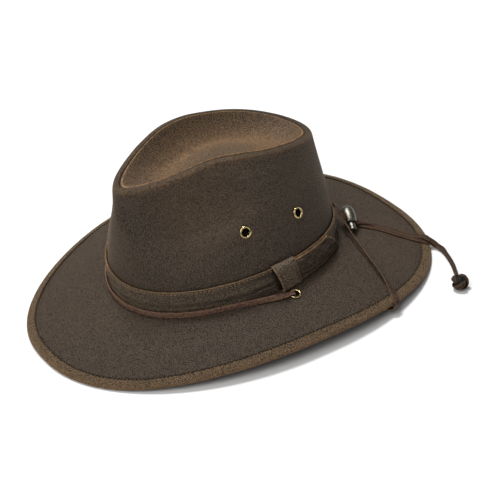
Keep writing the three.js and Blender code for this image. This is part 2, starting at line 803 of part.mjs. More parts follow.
function lockButton() {
  const cap = buttonRadius * capShare;
  const neck = buttonRadius * neckShare;
  const neckStart = buttonTravel + capChamfer * 3;
  const profile = [
    [0, -buttonInside],
    [buttonRadius, -buttonInside],
    [buttonRadius, neckStart],
    [neck, neckStart + gap],
    [neck, neckStart + 2 * gap],
    [cap, neckStart + 3 * gap],
    [cap, buttonStandOut - capChamfer],
    [cap * capFlatShare, buttonStandOut],
    [0, buttonStandOut],
  ].map(([r, z]) => new THREE.Vector2(r, z));
  const button = new THREE.LatheGeometry(profile, lockFacets).rotateX(Math.PI / 2);
  const length = laceWidth + 2 * gap + buttonTravel;
  return cut(button, [slotCutter(length, -slotFromEnd + buttonTravel / 2)]);
}

// The hat, piece by piece
const group = new THREE.Group();

function add(name, geometry, look, parent = group) {
  const mesh = new THREE.Mesh(geometry, new THREE.MeshStandardMaterial(look));
  mesh.name = name;
  parent.add(mesh);
  return mesh;
}

const cloth = { color: 0x4a4036, roughness: 0.75, metalness: 0 };
const tape = { color: 0x66543f, roughness: 0.8, metalness: 0 };
const brass = { color: 0xb8a878, roughness: 0.3, metalness: 1 };
const leather = { color: 0x5a4134, roughness: 0.6, metalness: 0 };
const pewter = { color: 0x80807a, roughness: 0.4, metalness: 0.3 };

const ventSeats = [1, -1].flatMap((side) => ventAngles.map((angle) => seatOn(wallAt, side * angle, ventRise)));
const brimSeats = [1, -1].map((side) => seatOn(brimTopInward, side * brimEyeletAngle, 1 - brimEyeletShare));
const ventNames = ['left_front', 'left_back', 'right_front', 'right_back'];
const brimNames = ['left', 'right'];

function holesAt(seats) {
  return seats.map(({ point, direction }) => aimed(eyeletHoleCutter(), point, direction));
}

add('crown_side', cut(crownSide(), holesAt(ventSeats)), cloth);
add('crown_top', crownTop(), cloth);
add('brim', cut(brim(), holesAt(brimSeats)), cloth);
add('brim_binding', binding(), tape);
add('hat_band', band(), cloth);
add('band_strap_end', strapEnd(), cloth);
add('band_keeper', keeper(), cloth);
ventSeats.forEach(({ point, direction }, i) => {
  add(`vent_eyelet_${ventNames[i]}`, aimed(eyelet(crownWall), point, direction), brass);
});
brimSeats.forEach(({ point, direction }, i) => {
  add(`brim_eyelet_${brimNames[i]}`, aimed(eyelet(brimWall), point, direction), brass);
});

const frontRows = [...frontLace, ...mirrored(frontLace).reverse()];
const leftRows = [...underLace, ...leftStrand, ...leftTail];
const rightRows = [...mirrored(underLace), ...rightStrand, ...rightTail];
add('chin_lace_front', lace(frontRows), leather);
add('chin_lace_left', lace(leftRows), leather);
add('chin_lace_right', lace(rightRows), leather);
add('chin_lace_knot', knot(), leather);

const lock = new THREE.Group();
const lockZ = new THREE.Vector3(...lockAim).normalize();
const lockX = new THREE.Vector3(...lockAcross).addScaledVector(lockZ, -lockZ.dot(new THREE.Vector3(...lockAcross)));
lockX.normalize();
const lockY = lockZ.clone().cross(lockX);
lock.quaternion.setFromRotationMatrix(new THREE.Matrix4().makeBasis(lockX, lockY, lockZ));
lock.position.set(...lockPlace);
group.add(lock);
add('cord_lock_body', lockBody(), pewter, lock);
add('cord_lock_button', lockButton(), pewter, lock);

export default group;
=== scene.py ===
import math

import bmesh
import bpy
from mathutils import Matrix, Vector, noise


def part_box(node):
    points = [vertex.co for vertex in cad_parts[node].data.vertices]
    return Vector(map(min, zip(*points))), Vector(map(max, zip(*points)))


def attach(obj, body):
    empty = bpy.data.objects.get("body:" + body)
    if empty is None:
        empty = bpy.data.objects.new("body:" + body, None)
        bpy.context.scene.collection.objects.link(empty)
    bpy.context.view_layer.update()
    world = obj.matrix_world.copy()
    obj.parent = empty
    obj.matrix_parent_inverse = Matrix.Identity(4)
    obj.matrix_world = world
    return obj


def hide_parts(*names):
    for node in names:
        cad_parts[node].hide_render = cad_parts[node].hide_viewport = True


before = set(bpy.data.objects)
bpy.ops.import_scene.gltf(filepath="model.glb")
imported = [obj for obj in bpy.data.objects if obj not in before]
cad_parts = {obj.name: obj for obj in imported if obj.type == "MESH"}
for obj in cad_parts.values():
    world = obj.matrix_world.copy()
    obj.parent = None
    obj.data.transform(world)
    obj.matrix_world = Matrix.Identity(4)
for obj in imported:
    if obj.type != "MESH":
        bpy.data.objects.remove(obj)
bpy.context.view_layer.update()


# Camera, at the wearer's left and a little to the front of the hat, looking down on it.
camera_back = Vector((0.729, -0.396, 0.558)).normalized()
camera_right = Vector((0.540, 0.834, -0.112))
camera_right = (camera_right - camera_right.dot(camera_back) * camera_back).normalized()
camera_up = camera_back.cross(camera_right)
camera_lens = bpy.data.cameras.new("camera")
camera_lens.lens = 113.63
camera_lens.sensor_width = 36
camera_lens.shift_x = 0.0495
camera_lens.shift_y = 0.0514
camera_lens.clip_end = 20
camera = bpy.data.objects.new("camera", camera_lens)
bpy.context.scene.collection.objects.link(camera)
camera.matrix_world = Matrix((camera_right, camera_up, camera_back)).transposed().to_4x4()
camera.location = (1.0138, -0.5507, 0.7779)
bpy.context.scene.camera = camera


# Chin lace: one flat leather lace, cut from hide about 1.3 mm thick. It lies round the front of the
# crown, goes down through an eyelet on each side, comes round the brim's edge and runs back through
# the cord lock, where its two tails leave together.
# Each row of a route is x, y, z, then the direction that the lace's flat face looks in.
front_route = [
    (0.0983, 0.009, 0.028, 0.28, 0.96, 0), (0.0988, 0.009, 0.0301, 0.28, 0.96, 0.1),
    (0.0991, 0.0081, 0.0315, 0.25, 0.75, 0.6), (0.099, 0.0058, 0.0321, 0.2, 0.25, 0.95),
    (0.0985, 0.002, 0.0322, 0.45, 0, 0.9), (0.0973, -0.0036, 0.0325, 0.8, -0.1, 0.6),
    (0.095, -0.0118, 0.033, 0.95, -0.25, 0.25), (0.0913, -0.0225, 0.0334, 1, -0.3, 0.1),
    (0.0876, -0.0321, 0.0335, 1, -0.35, 0.05), (0.0828, -0.0423, 0.03295, 0.935, -0.354, 0),
    (0.0734, -0.0616, 0.03145, 0.85, -0.527, 0), (0.0608, -0.0781, 0.02965, 0.726, -0.687, 0),
    (0.0454, -0.0912, 0.02795, 0.561, -0.828, 0), (0.0281, -0.1002, 0.02665, 0.356, -0.935, 0),
    (0.0095, -0.1048, 0.02595, 0.122, -0.992, 0),
]
under_route = [
    (0.0982, 0.009, 0.0276, -0.28, -0.96, 0), (0.09775, 0.0089, 0.0255, -0.35, -0.93, -0.1),
    (0.0976, 0.0093, 0.0239, -0.35, -0.7, -0.6), (0.0988, 0.011, 0.0229, -0.1, -0.2, -1),
    (0.1013, 0.0144, 0.0228, 0, 0, -1), (0.105, 0.0198, 0.0225, 0, 0, -1),
    (0.112, 0.0305, 0.0206, 0, 0, -1), (0.12, 0.0427, 0.0173, 0, 0, -1),
    (0.13, 0.0582, 0.0125, 0, 0, -1), (0.1368, 0.0686, 0.0079, 0, 0, -1),
    (0.1419, 0.0756, 0.006, 0.3, 0, -1), (0.1437, 0.0776, 0.007, 1, 0.3, -1),
    (0.1441, 0.079, 0.0094, 1, 0.3, 0), (0.143, 0.08, 0.0119, 1, 0.3, 1),
    (0.1402, 0.0806, 0.0131, 0.2, 0, 1),
]
left_route = [
    (0.1362, 0.0823, 0.0139, 0.15, 0.1, 1), (0.1284, 0.0846, 0.0163, 0.15, 0.4, 0.9),
    (0.1182, 0.0866, 0.0198, 0.2, 0.8, 0.55), (0.1054, 0.0884, 0.0226, 0.25, 0.92, 0.35),
    (0.0895, 0.0911, 0.0255, 0.28, 0.92, 0.29), (0.0745, 0.0941, 0.028, 0.28, 0.92, 0.29),
    (0.059, 0.0977, 0.0301, 0.28, 0.92, 0.29), (0.0505, 0.0999, 0.0324, 0.35, 0.85, 0.4),
    (0.0438, 0.1004, 0.037, 0.499, 0.608, 0.617), (0.0412, 0.1014, 0.0382, 0.499, 0.608, 0.617),
    (0.0393, 0.1036, 0.0379, 0.499, 0.608, 0.617), (0.0385, 0.1061, 0.0358, 0.499, 0.608, 0.617),
    (0.03855, 0.1158, 0.02625, 0.499, 0.608, 0.617), (0.0384, 0.1186, 0.0245, 0.4, 0.55, 0.75),
    (0.038, 0.1222, 0.0227, 0.15, 0.35, 0.9), (0.0385, 0.1267, 0.0204, 0, 0.2, 1),
    (0.041, 0.1318, 0.0175, -0.1, 0.15, 1), (0.0462, 0.1368, 0.0154, -0.1, 0.12, 1),
    (0.0552, 0.144, 0.01275, -0.1, 0.12, 1), (0.0625, 0.1494, 0.0106, -0.1, 0.12, 1),
    (0.0686, 0.154, 0.0087, -0.1, 0.12, 1), (0.073, 0.1586, 0.008, -0.05, 0.1, 1),
    (0.078, 0.1608, 0.0091, 0, 0, 1), (0.0826, 0.1618, 0.0086, 0.2, 0.15, 0.95),
    (0.0873, 0.1644, 0.006, 0.5, 0.4, 0.75), (0.0911, 0.1658, 0.0035, 0.3, 0.25, 0.9),
    (0.0955, 0.166, 0.0028, 0, 0, 1), (0.0995, 0.1652, 0.00275, 0, 0, 1),
    (0.1106, 0.1616, 0.00275, 0, 0, 1), (0.1213, 0.1573, 0.00275, 0, 0, 1),
    (0.1322, 0.1512, 0.0033, 0, 0, 1), (0.14345, 0.1446, 0.0066, -0.3, 0.1, 0.9),
]
right_route = [
    (-0.136, 0.0823, 0.0139, 0, 0.1, 1), (-0.1284, 0.0836, 0.016, 0, 0, 1),
    (-0.116, 0.0859, 0.0184, 0, 0, 1), (-0.0915, 0.091, 0.0223, 0, 0, 1),
    (-0.067, 0.0965, 0.0244, 0, 0.1, 1), (-0.043, 0.103, 0.0256, 0, 0.4, 0.9),
    (-0.02, 0.1085, 0.0272, 0, 0.8, 0.6), (0, 0.1098, 0.0304, 0, 0.95, 0.3),
    (0.012, 0.1091, 0.0346, 0.2, 0.9, 0.4), (0.0205, 0.1072, 0.0389, 0.35, 0.75, 0.55),
    (0.0272, 0.1049, 0.0416, 0.499, 0.608, 0.617), (0.0334, 0.1033, 0.0401, 0.499, 0.608, 0.617),
    (0.03645, 0.1031, 0.03775, 0.499, 0.608, 0.617), (0.0377, 0.1051, 0.0348, 0.499, 0.608, 0.617),
    (0.03775, 0.1148, 0.0253, 0.499, 0.608, 0.617), (0.0382, 0.1174, 0.0227, 0.35, 0.45, 0.8),
    (0.04, 0.1211, 0.0204, 0.05, 0.25, 0.95), (0.0435, 0.1255, 0.01865, -0.1, 0.12, 1),
    (0.0499, 0.133, 0.0161, -0.1, 0.12, 1), (0.0585, 0.1398, 0.01355, -0.1, 0.12, 1),
    (0.0657, 0.1451, 0.01135, -0.1, 0.12, 1), (0.0718, 0.1498, 0.0094, -0.1, 0.12, 1),
    (0.077, 0.1544, 0.008, -0.08, 0.1, 1), (0.0812, 0.1585, 0.0067, 0, 0.05, 1),
    (0.0847, 0.1617, 0.0054, 0.25, 0.2, 0.9), (0.0876, 0.1643, 0.0031, 0.5, 0.4, 0.75),
    (0.091, 0.1661, 0.0015, 0.3, 0.25, 0.9), (0.0953, 0.1668, 0.0011, 0, 0, 1),
    (0.0992, 0.1659, 0.0011, 0, 0, 1), (0.1103, 0.1621, 0.0011, 0, 0, 1),
    (0.121, 0.1578, 0.0011, 0, 0, 1), (0.1322, 0.1519, 0.0013, 0, 0, 1),
    (0.14405, 0.1447, 0.0046, -0.3, 0.1, 0.9),
]
lace_width = 0.005
lace_wall = 0.0013
lace_step = 0.0012
lace_sides = 16
route_fineness = 24
end_narrowing = 0.3
narrowing_reach = 0.012
tail_length = 0.056
tail_width = 1.14
tail_narrowing = 0.40


def mirrored(route):
    return [(-x, y, z, -fx, fy, fz) for x, y, z, fx, fy, fz in route]


def clamp(value):
    return min(1, max(0, value))


def hump(value, middle, spread):
    """1 where the value is at the middle, falling softly to 0 on both sides of it."""
    return math.exp(-((value - middle) / spread) ** 2)


def ragged(x, y, z):
    """A smooth unevenness between -1 and 1, always the same at the same place."""
    return noise.noise(Vector((x, y, z)))


def through(points, t):
    """A smooth curve through points, t from 0 at the first to 1 at the last."""
    place = clamp(t) * (len(points) - 1)
    i = min(int(place), len(points) - 2)
    s = place - i
    b, c = points[i], points[i + 1]
    a = points[i - 1] if i > 0 else b * 2 - c
    d = points[i + 2] if i + 2 < len(points) else c * 2 - b
    bend = a * 2 - b * 5 + c * 4 - d
    twist = b * 3 - a - c * 3 + d
    return b + (c - a + (bend + twist * s) * s) * (0.5 * s)


def run_lengths(spots):
    """The length along a line of spots, up to each of them."""
    run = [0.0]
    for p, q in zip(spots, spots[1:]):
        run.append(run[-1] + (q - p).length)
    return run


def places_along(run, wanted):
    """For each wanted length, the spot before it and the share of the gap that follows."""
    k = 0
    for want in wanted:
        while k < len(run) - 2 and run[k + 1] < want:
            k += 1
        yield k, (want - run[k]) / (run[k + 1] - run[k])


def even_route(route):
    """Places along a route at even steps, each with its flat face's direction, and the length."""
    spots = [Vector(row[:3]) for row in route]
    faces = [Vector(row[3:]).normalized() for row in route]
    fine = route_fineness * (len(route) - 1)
    dense_spots = [through(spots, k / fine) for k in range(fine + 1)]
    dense_faces = [through(faces, k / fine) for k in range(fine + 1)]
    run = run_lengths(dense_spots)
    count = round(run[-1] / lace_step)
    places = []
    for k, s in places_along(run, [run[-1] * i / count for i in range(count + 1)]):
        spot = dense_spots[k].lerp(dense_spots[k + 1], s)
        places.append((spot, dense_faces[k].lerp(dense_faces[k + 1], s)))
    return places, run[-1]


def new_piece(name, bm, smooth=True):
    """Puts a finished shape into the scene as an object."""
    mesh = bpy.data.meshes.new(name)
    bm.to_mesh(mesh)
    bm.free()
    for face in mesh.polygons:
        face.use_smooth = smooth
    piece = bpy.data.objects.new(name, mesh)
    bpy.context.scene.collection.objects.link(piece)
    return piece


def shaped_grid(name, across, along, place, close_across=False, close_along=False, closed_ends=False):
    """A flat grid of quads, moved point by point to place(u, w) with u and w from 0 to 1. The place
    comes with its two lengths on the cloth and its wear and shading value: rubbed wear above zero, and on
    the top panel's floor painted light; painted shade below zero."""
    bm = bmesh.new()
    bmesh.ops.create_grid(bm, x_segments=across, y_segments=along, size=1)
    low = Vector((min(v.co.x for v in bm.verts), min(v.co.y for v in bm.verts)))
    high = Vector((max(v.co.x for v in bm.verts), max(v.co.y for v in bm.verts)))
    across_layer = bm.verts.layers.float.new("across")
    along_layer = bm.verts.layers.float.new("along")
    wear_and_shading_layer = bm.verts.layers.float.new("wear_and_shading_value")
    for v in bm.verts:
        u = (v.co.x - low.x) / (high.x - low.x)
        w = (v.co.y - low.y) / (high.y - low.y)
        v.co, v[across_layer], v[along_layer], v[wear_and_shading_layer] = place(u, w)
    if close_across or close_along:
        edge = [v for v in bm.verts if v.is_boundary]
        bmesh.ops.remove_doubles(bm, verts=edge, dist=1e-6)
    if closed_ends:
        bmesh.ops.holes_fill(bm, edges=bm.edges, sides=0)
    bmesh.ops.recalc_face_normals(bm, faces=bm.faces)
    return new_piece(name, bm)


def lace_section(turn, width, wall):
    """A point of the lace's rounded flat section, turn from 0 to 1 round it: (side, face)."""
    c, s = math.cos(turn * math.tau), math.sin(turn * math.tau)
    flat_power, round_power = 0.35, 0.75
    side = math.copysign(abs(c) ** flat_power, c) * width / 2
    return side, math.copysign(abs(s) ** round_power, s) * wall / 2


def laid_lace(name, route, seed, tail=0.0):
    """A lace along its route. Its last length, the tail, is drawn narrow where the knot pulls it."""
    spots, run = even_route(route)
    count = len(spots) - 1
    frames = []
    for k, (spot, face) in enumerate(spots):
        ahead = (spots[min(k + 1, count)][0] - spots[max(k - 1, 0)][0]).normalized()
        face = (face - face.dot(ahead) * ahead).normalized()
        frames.append((spot, face, ahead.cross(face)))

    def place(u, w):
        spot, face, side = frames[round(w * count)]
        a, f = lace_section(u, lace_width, lace_wall)
        a *= 1 - end_narrowing * hump(min(w, 1 - w) * run, 0, narrowing_reach)
        if tail > 0:
            a *= tail_width - tail_narrowing * clamp(((w - 1) * run + tail) / narrowing_reach)
        f *= 1 + 0.12 * ragged(w * run * 90 + seed, 3.1, a * 400)
        a *= 1 + 0.05 * ragged(w * run * 60 + seed, 9.7, 0)
        return spot + side * a + face * f, a, w * run, (abs(a) / (lace_width / 2)) ** 6

    piece = shaped_grid(name, lace_sides, count, place, close_across=True, closed_ends=True)
    return piece, [tuple(spot) for spot, _ in spots], run


front_rows = front_route + mirrored(front_route)[::-1]
left_rows = under_route + left_route
right_rows = mirrored(under_route) + right_route
lace_front, front_path, front_run = laid_lace("lace_front", front_rows, 1)
lace_left, left_path, left_run = laid_lace("lace_left", left_rows, 2, tail_length)
lace_right, right_path, right_run = laid_lace("lace_right", right_rows, 3, tail_length)


def new_group(name, takes, gives):
    """An empty shader group with named sockets: (name, kind, first value)."""
    tree = bpy.data.node_groups.new(name, "ShaderNodeTree")
    for label, kind, value in takes:
        socket = tree.interface.new_socket(label, in_out="INPUT", socket_type="NodeSocket" + kind)
        socket.default_value = value
    for label, kind in gives:
        tree.interface.new_socket(label, in_out="OUTPUT", socket_type="NodeSocket" + kind)
    return tree


def wire(tree, kind, values=(), links=(), **settings):
    """A node with its settings, its plain values and the outputs that feed it."""
    node = tree.nodes.new("ShaderNode" + kind)
    for key, value in settings.items():
        setattr(node, key, value)
    for socket, value in dict(values).items():
        node.inputs[socket].default_value = value
    for socket, source in dict(links).items():
        tree.links.new(source, node.inputs[socket])
    return node


def mixed(tree, a, b, share):
    """The colour between a and b, where each of the three may be a value or an output."""
    node = tree.nodes.new("ShaderNodeMix")
    node.data_type = "RGBA"
    for index, source in ((0, share), (6, a), (7, b)):
        if isinstance(source, bpy.types.NodeSocket):
            tree.links.new(source, node.inputs[index])
        else:
            node.inputs[index].default_value = source
    return node.outputs[2]


def srgb(r, g, b):
    return tuple(((c / 255 + 0.055) / 1.055) ** 2.4 for c in (r, g, b)) + (1,)


# Fine grain and broad clouds, used by the leather, the cloth, the tape and the metals alike.
grain = new_group(
    "grain_and_clouds",
    [("Colour", "Color", (0.1, 0.1, 0.1, 1)), ("Pale", "Color", (0.2, 0.2, 0.2, 1)),
     ("Dark", "Color", (0.05, 0.05, 0.05, 1)), ("Grain scale", "Float", 700.0),
     ("Grain", "Float", 0.5), ("Clouds", "Float", 0.5)],
    [("Colour", "Color"), ("Height", "Float")],
)
inside = grain.nodes.new("NodeGroupInput").outputs
space = wire(grain, "TexCoord").outputs["Object"]
fine = wire(grain, "TexNoise", {"Detail": 1.0, "Roughness": 0.5},
            {"Vector": space, "Scale": inside["Grain scale"]}).outputs[0]
broad = wire(grain, "TexNoise", {"Scale": 26.0, "Detail": 3.0, "Roughness": 0.55, "Distortion": 0.4},
             {"Vector": space}).outputs[0]
fine_spread = wire(grain, "MapRange", {"From Min": 0.42, "From Max": 0.58}, {"Value": fine}).outputs[0]
broad_spread = wire(grain, "MapRange", {"From Min": 0.36, "From Max": 0.66}, {"Value": broad}).outputs[0]
cloud_share = wire(grain, "Math", {}, {0: broad_spread, 1: inside["Clouds"]}, operation="MULTIPLY")
clouded = mixed(grain, inside["Colour"], inside["Pale"], cloud_share.outputs[0])
speckled = mixed(grain, inside["Dark"], inside["Pale"], fine_spread)
grained = mixed(grain, clouded, speckled, inside["Grain"])
outside = grain.nodes.new("NodeGroupOutput")
grain.links.new(grained, outside.inputs["Colour"])
grain.links.new(fine_spread, outside.inputs["Height"])

# The rubbed colour that shows where a piece's own wear and shading value is high (rubbed wear, and on the
# top panel's floor painted light), and painted shade, near black, where it is below zero.
painted_shade_colour = (0.004, 0.003, 0.002, 1)
rubbed_and_shaded = new_group(
    "rubbed_edges_and_painted_shade",
    [("Colour", "Color", (0.1, 0.1, 0.1, 1)), ("Worn", "Color", (0.3, 0.2, 0.1, 1)),
     ("Amount", "Float", 1.0)],
    [("Colour", "Color")],
)
inside = rubbed_and_shaded.nodes.new("NodeGroupInput").outputs
space = wire(rubbed_and_shaded, "TexCoord").outputs["Object"]
wear_and_shading_value = wire(rubbed_and_shaded, "Attribute", attribute_name="wear_and_shading_value").outputs["Fac"]
patchy = wire(rubbed_and_shaded, "TexNoise", {"Scale": 260.0, "Detail": 5.0, "Roughness": 0.8},
              {"Vector": space}).outputs[0]
patches = wire(rubbed_and_shaded, "MapRange", {"From Min": 0.38, "From Max": 0.62, "To Min": 0.05},
               {"Value": patchy}).outputs[0]
worn_here = wire(rubbed_and_shaded, "Math", {}, {0: wear_and_shading_value, 1: patches}, operation="MULTIPLY", use_clamp=True)
worn_share = wire(rubbed_and_shaded, "Math", {}, {0: worn_here.outputs[0], 1: inside["Amount"]},
                  operation="MULTIPLY", use_clamp=True)
# Painted shade: values below zero darken the colour towards near black.
painted_shade_share = wire(rubbed_and_shaded, "Math", {1: -0.9}, {0: wear_and_shading_value}, operation="MULTIPLY", use_clamp=True)
worn_colour = mixed(rubbed_and_shaded, inside["Colour"], inside["Worn"], worn_share.outputs[0])
outside = rubbed_and_shaded.nodes.new("NodeGroupOutput")
rubbed_and_shaded.links.new(mixed(rubbed_and_shaded, worn_colour, painted_shade_colour, painted_shade_share.outputs[0]), outside.inputs["Colour"])


def new_material(name, **plain):
    """A Principled material with its plain values set on the shader."""
    material = bpy.data.materials.new(name)
    material.use_nodes = True
    shader = material.node_tree.nodes["Principled BSDF"]
    for socket, value in plain.items():
        shader.inputs[socket.replace("_", " ")].default_value = value
    return material, material.node_tree, shader


def grain_node(tree, colour, pale, dark, scale, share, clouds):
    """The grain's colour and height, for a material of its own three colours."""
    node = tree.nodes.new("ShaderNodeGroup")
    node.node_tree = grain
    for socket, value in (("Colour", srgb(*colour)), ("Pale", srgb(*pale)), ("Dark", srgb(*dark)),
                          ("Grain scale", scale), ("Grain", share), ("Clouds", clouds)):
        node.inputs[socket].default_value = value
    return node


def grained_material(name, colour, pale, dark, scale, share, clouds, **plain):
    """A material whose colour is the grain's alone."""
    material, tree, shader = new_material(name, **plain)
    ground = grain_node(tree, colour, pale, dark, scale, share, clouds)
    tree.links.new(ground.outputs["Colour"], shader.inputs["Base Color"])
    return material, tree, shader, ground.outputs["Height"]


def worn_and_shaded_material(name, colour, pale, dark, wear_and_shading, scale, share, clouds, amount, relief, **plain):
    """A grained material that is rubbed to its worn colour on edges, darkened by painted shade where a
    piece's value is below zero, and given a painted highlight of the worn colour at its silhouette.
    """
    material, tree, shader = new_material(name, **plain)
    ground = grain_node(tree, colour, pale, dark, scale, share, clouds)
    edges = tree.nodes.new("ShaderNodeGroup")
    edges.node_tree = rubbed_and_shaded
    edges.inputs["Worn"].default_value = srgb(*wear_and_shading)
    edges.inputs["Amount"].default_value = amount
    tree.links.new(ground.outputs["Colour"], edges.inputs["Colour"])
    # Painted highlight: the worn colour is laid over the surface where it turns away from the camera, a rim
    # of light along the silhouette.
    facing = wire(tree, "LayerWeight", {"Blend": 0.25}).outputs["Facing"]
    painted_rim_highlight = wire(tree, "MapRange", {"From Min": 0.72, "From Max": 1.0, "To Max": 0.6}, {"Value": facing})
    finished = mixed(tree, edges.outputs["Colour"], srgb(*wear_and_shading), painted_rim_highlight.outputs[0])
    tree.links.new(finished, shader.inputs["Base Color"])
    bump = wire(tree, "Bump", {"Strength": relief, "Distance": 0.0004}, {"Height": ground.outputs["Height"]})
    tree.links.new(bump.outputs["Normal"], shader.inputs["Normal"])
    return material


def dress(piece, material, node=None, body="hat"):
    """Gives a piece its material, puts it in its body, and hides the imported part that it stands for."""
    piece.data.materials.append(material)
    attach(piece, body)
    if node:
        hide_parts(node)


leather = worn_and_shaded_material(
    "lace_leather", (92, 69, 57), (138, 104, 84), (42, 31, 26), wear_and_shading=(160, 116, 84),
    scale=900, share=0.6, clouds=0.3, amount=0.6, relief=0.4, Roughness=0.6, Specular_IOR_Level=0.25)
dark_leather = worn_and_shaded_material(
    "dark_lace_leather", (50, 36, 27), (82, 60, 44), (22, 15, 11), wear_and_shading=(118, 84, 56),
    scale=900, share=0.6, clouds=0.3, amount=0.55, relief=0.4, Roughness=0.6, Specular_IOR_Level=0.22)
# The front strand takes the lighter leather; the strands through the eyelets and the lock, their tails and
# the knot take a darker copy of it.
dress(lace_front, leather, "chin_lace_front")
dress(lace_left, dark_leather, "chin_lace_left")
dress(lace_right, dark_leather, "chin_lace_right")


# Knot: the two tails are tied in an overhand knot and pulled tight, so that the flat lace's turns pass
# over and under each other in a small round ball. A core painted near-black stands for the turns inside
# it and the shade between them.
knot_middle = Vector((0.1499, 0.1415, 0.0066))
knot_axis = Vector((0.35, -0.2, 0.9)).normalized()
knot_ring = 0.0040
knot_tube = 0.0029
knot_stretch = 1.3
knot_core = 0.0055
# The core's value gives it painted shade, near black.
knot_core_painted_shade = -1.1
knot_rounds = 2
knot_passes = 3
knot_curl = 0.8
knot_course = 0.09
knot_steps = 200
knot_across = Vector((0, 0, 1)).cross(knot_axis).normalized()
knot_along = knot_axis.cross(knot_across)


def knot_spot(turn, away=0.0):
    """A point of the knot's course, which goes twice round its axis and three times through its eye."""
    tube = knot_tube + away
    out = knot_ring + tube * math.cos(knot_passes * turn)
    flat = knot_across * math.cos(knot_rounds * turn) + knot_along * math.sin(knot_rounds * turn)
    return flat * out + knot_axis * (tube * math.sin(knot_passes * turn) * knot_stretch)


def knot_wrap(u, w):
    turn = w * math.tau
    spot = knot_spot(turn)
    ahead = (knot_spot(turn + 0.01) - knot_spot(turn - 0.01)).normalized()
    face = (knot_spot(turn, 0.001) - spot).normalized()
    face = (face - face.dot(ahead) * ahead).normalized()
    side = ahead.cross(face)
    a, f = lace_section(u, lace_width * 0.92, lace_wall * 1.2)
    curl = a * a / (2 * knot_tube) * knot_curl
    uneven = 1 + 0.06 * ragged(w * 9, 4, 1)
    # Painted shade on the face of the lace that looks into the knot.
    wear_and_shading = (abs(a) / lace_width * 2) ** 6 - 0.55 * (f < 0)
    return knot_middle + spot * uneven + side * a + face * (f - curl), a, w * knot_course, wear_and_shading


lace_knot = shaped_grid("lace_knot", lace_sides, knot_steps, knot_wrap, close_across=True, close_along=True)
bm = bmesh.new()
bm.from_mesh(lace_knot.data)
knot_place = Matrix.Translation(knot_middle)
core = bmesh.ops.create_icosphere(bm, subdivisions=3, radius=knot_core, matrix=knot_place)
for vertex in core["verts"]:
    vertex[bm.verts.layers.float["wear_and_shading_value"]] = knot_core_painted_shade
bm.to_mesh(lace_knot.data)
bm.free()
for face in lace_knot.data.polygons:
    face.use_smooth = True
dress(lace_knot, dark_leather, "chin_lace_knot")


# Crown side: one wall of waxed cotton, stiffened, blocked round and rolled over at the crest. The
# sizes are the outside of the cloth, in metres; the tables go in steps of 15 degrees from the front.
gap = 0.0003
brim_wall = 0.0024
band_height = 0.0235
band_taper = 0.0012
foot_length = 0.2058
foot_breadth = 0.1746
foot_centre = 0.001
foot_height = 0.0233
foot_side_rise = 0.0089
crown_wall = 0.002
crest_height = 0.1432
crest_length = 0.1866
crest_breadth = 0.099
crest_centre = 0.0034
crest_width = 0.0054
side_fullness = 0.003
pinch_depth = 0.0052
crest_step = 15
crest = {
    "breadth": (0.70, 0.71, 0.748, 0.80, 0.846, 0.893, 0.966, 1.035, 1.075, 1.097, 1.107, 1.109, 1.11),
    "height": (0.878, 0.885, 0.903, 0.930, 0.969, 1.0, 0.983, 0.939, 0.898, 0.855, 0.815, 0.787, 0.777),
    "dent": (0.45, 0.50, 0.62, 0.78, 0.90, 1.0, 1.0, 1.0, 1.0, 0.95, 0.85, 0.75, 0.70),
    "fullness": (0.35, 0.40, 0.50, 0.65, 0.85, 1.0, 1.0, 1.0, 0.9, 0.7, 0.5, 0.4, 0.35),
    "pinch": (0.0, 0.05, 0.4, 1.0, 0.85, 0.25, 0.0, 0.0, 0.0, 0.0, 0.0, 0.0, 0.0),
}
# Rows of the wall: its rise, and how much of the fullness and of the pinch it has. Rows of the crest:
# how far across its rolled edge, and how far below the top. The wall's points stand closer together
# towards the crest, where the cloth turns over.
wall_rows = [(0.0, 0.0, 0.0), (0.16, 0.75, 0.0), (0.36, 1.0, 0.4), (0.58, 0.9, 0.95), (0.78, 0.55, 0.95),
             (0.92, 0.2, 0.5)]
crest_rows = [(-0.25, 0.0034), (-0.08, 0.0006), (0.20, -0.0008), (0.58, -0.0012), (0.86, -0.0007),
              (0.97, 0.0009)]
crown_spread = [0, 0.09, 0.17, 0.29, 0.43, 0.58, 0.72, 0.82, 0.87, 0.90, 0.925, 0.95, 0.975, 1.0]
crown_steps = 400
crown_rise_steps = 122
crown_girth = 0.59
crown_rise = 0.14
hollow_angle, hollow_height = 46, 0.112
hollow_half_angle, hollow_half_height = 44, 0.027
hollow_lip = 0.36
hollow_depth_left, hollow_depth_right = 0.0036, 0.001


def from_front(angle):
    """How many degrees an angle is away from the front, on either side."""
    return abs((angle + 180) % 360 - 180)


def column(name, angle):
    """A column of the crest's table at any angle, alike on both sides."""
    values = crest[name]
    place = from_front(angle) / crest_step
    row = min(int(place), len(values) - 2)
    last = len(values) - 1

    def at(index):
        index = abs(index)
        return values[2 * last - index if index > last else index]

    s = place - row
    a, b, c, d = at(row - 1), at(row), at(row + 1), at(row + 2)
    return b + 0.5 * s * (c - a + s * (2 * a - 5 * b + 4 * c - d + s * (3 * b - a - 3 * c + d)))


def on_spread(rows, spread, w):
    """The point at w of a smooth curve through rows, where spread gives each row's own w."""
    i = 0
    while i < len(spread) - 2 and spread[i + 1] < w:
        i += 1
    s = (w - spread[i]) / (spread[i + 1] - spread[i])
    return through(rows, (i + s) / (len(rows) - 1))


def foot_point(angle, outset, height):
    turn = math.radians(angle)
    x = (foot_breadth / 2 + outset) * math.sin(turn)
    y = foot_centre - (foot_length / 2 + outset) * math.cos(turn)
    return Vector((x, y, height))


def foot_top(angle):
    return foot_height + foot_side_rise * math.sin(math.radians(angle)) ** 2


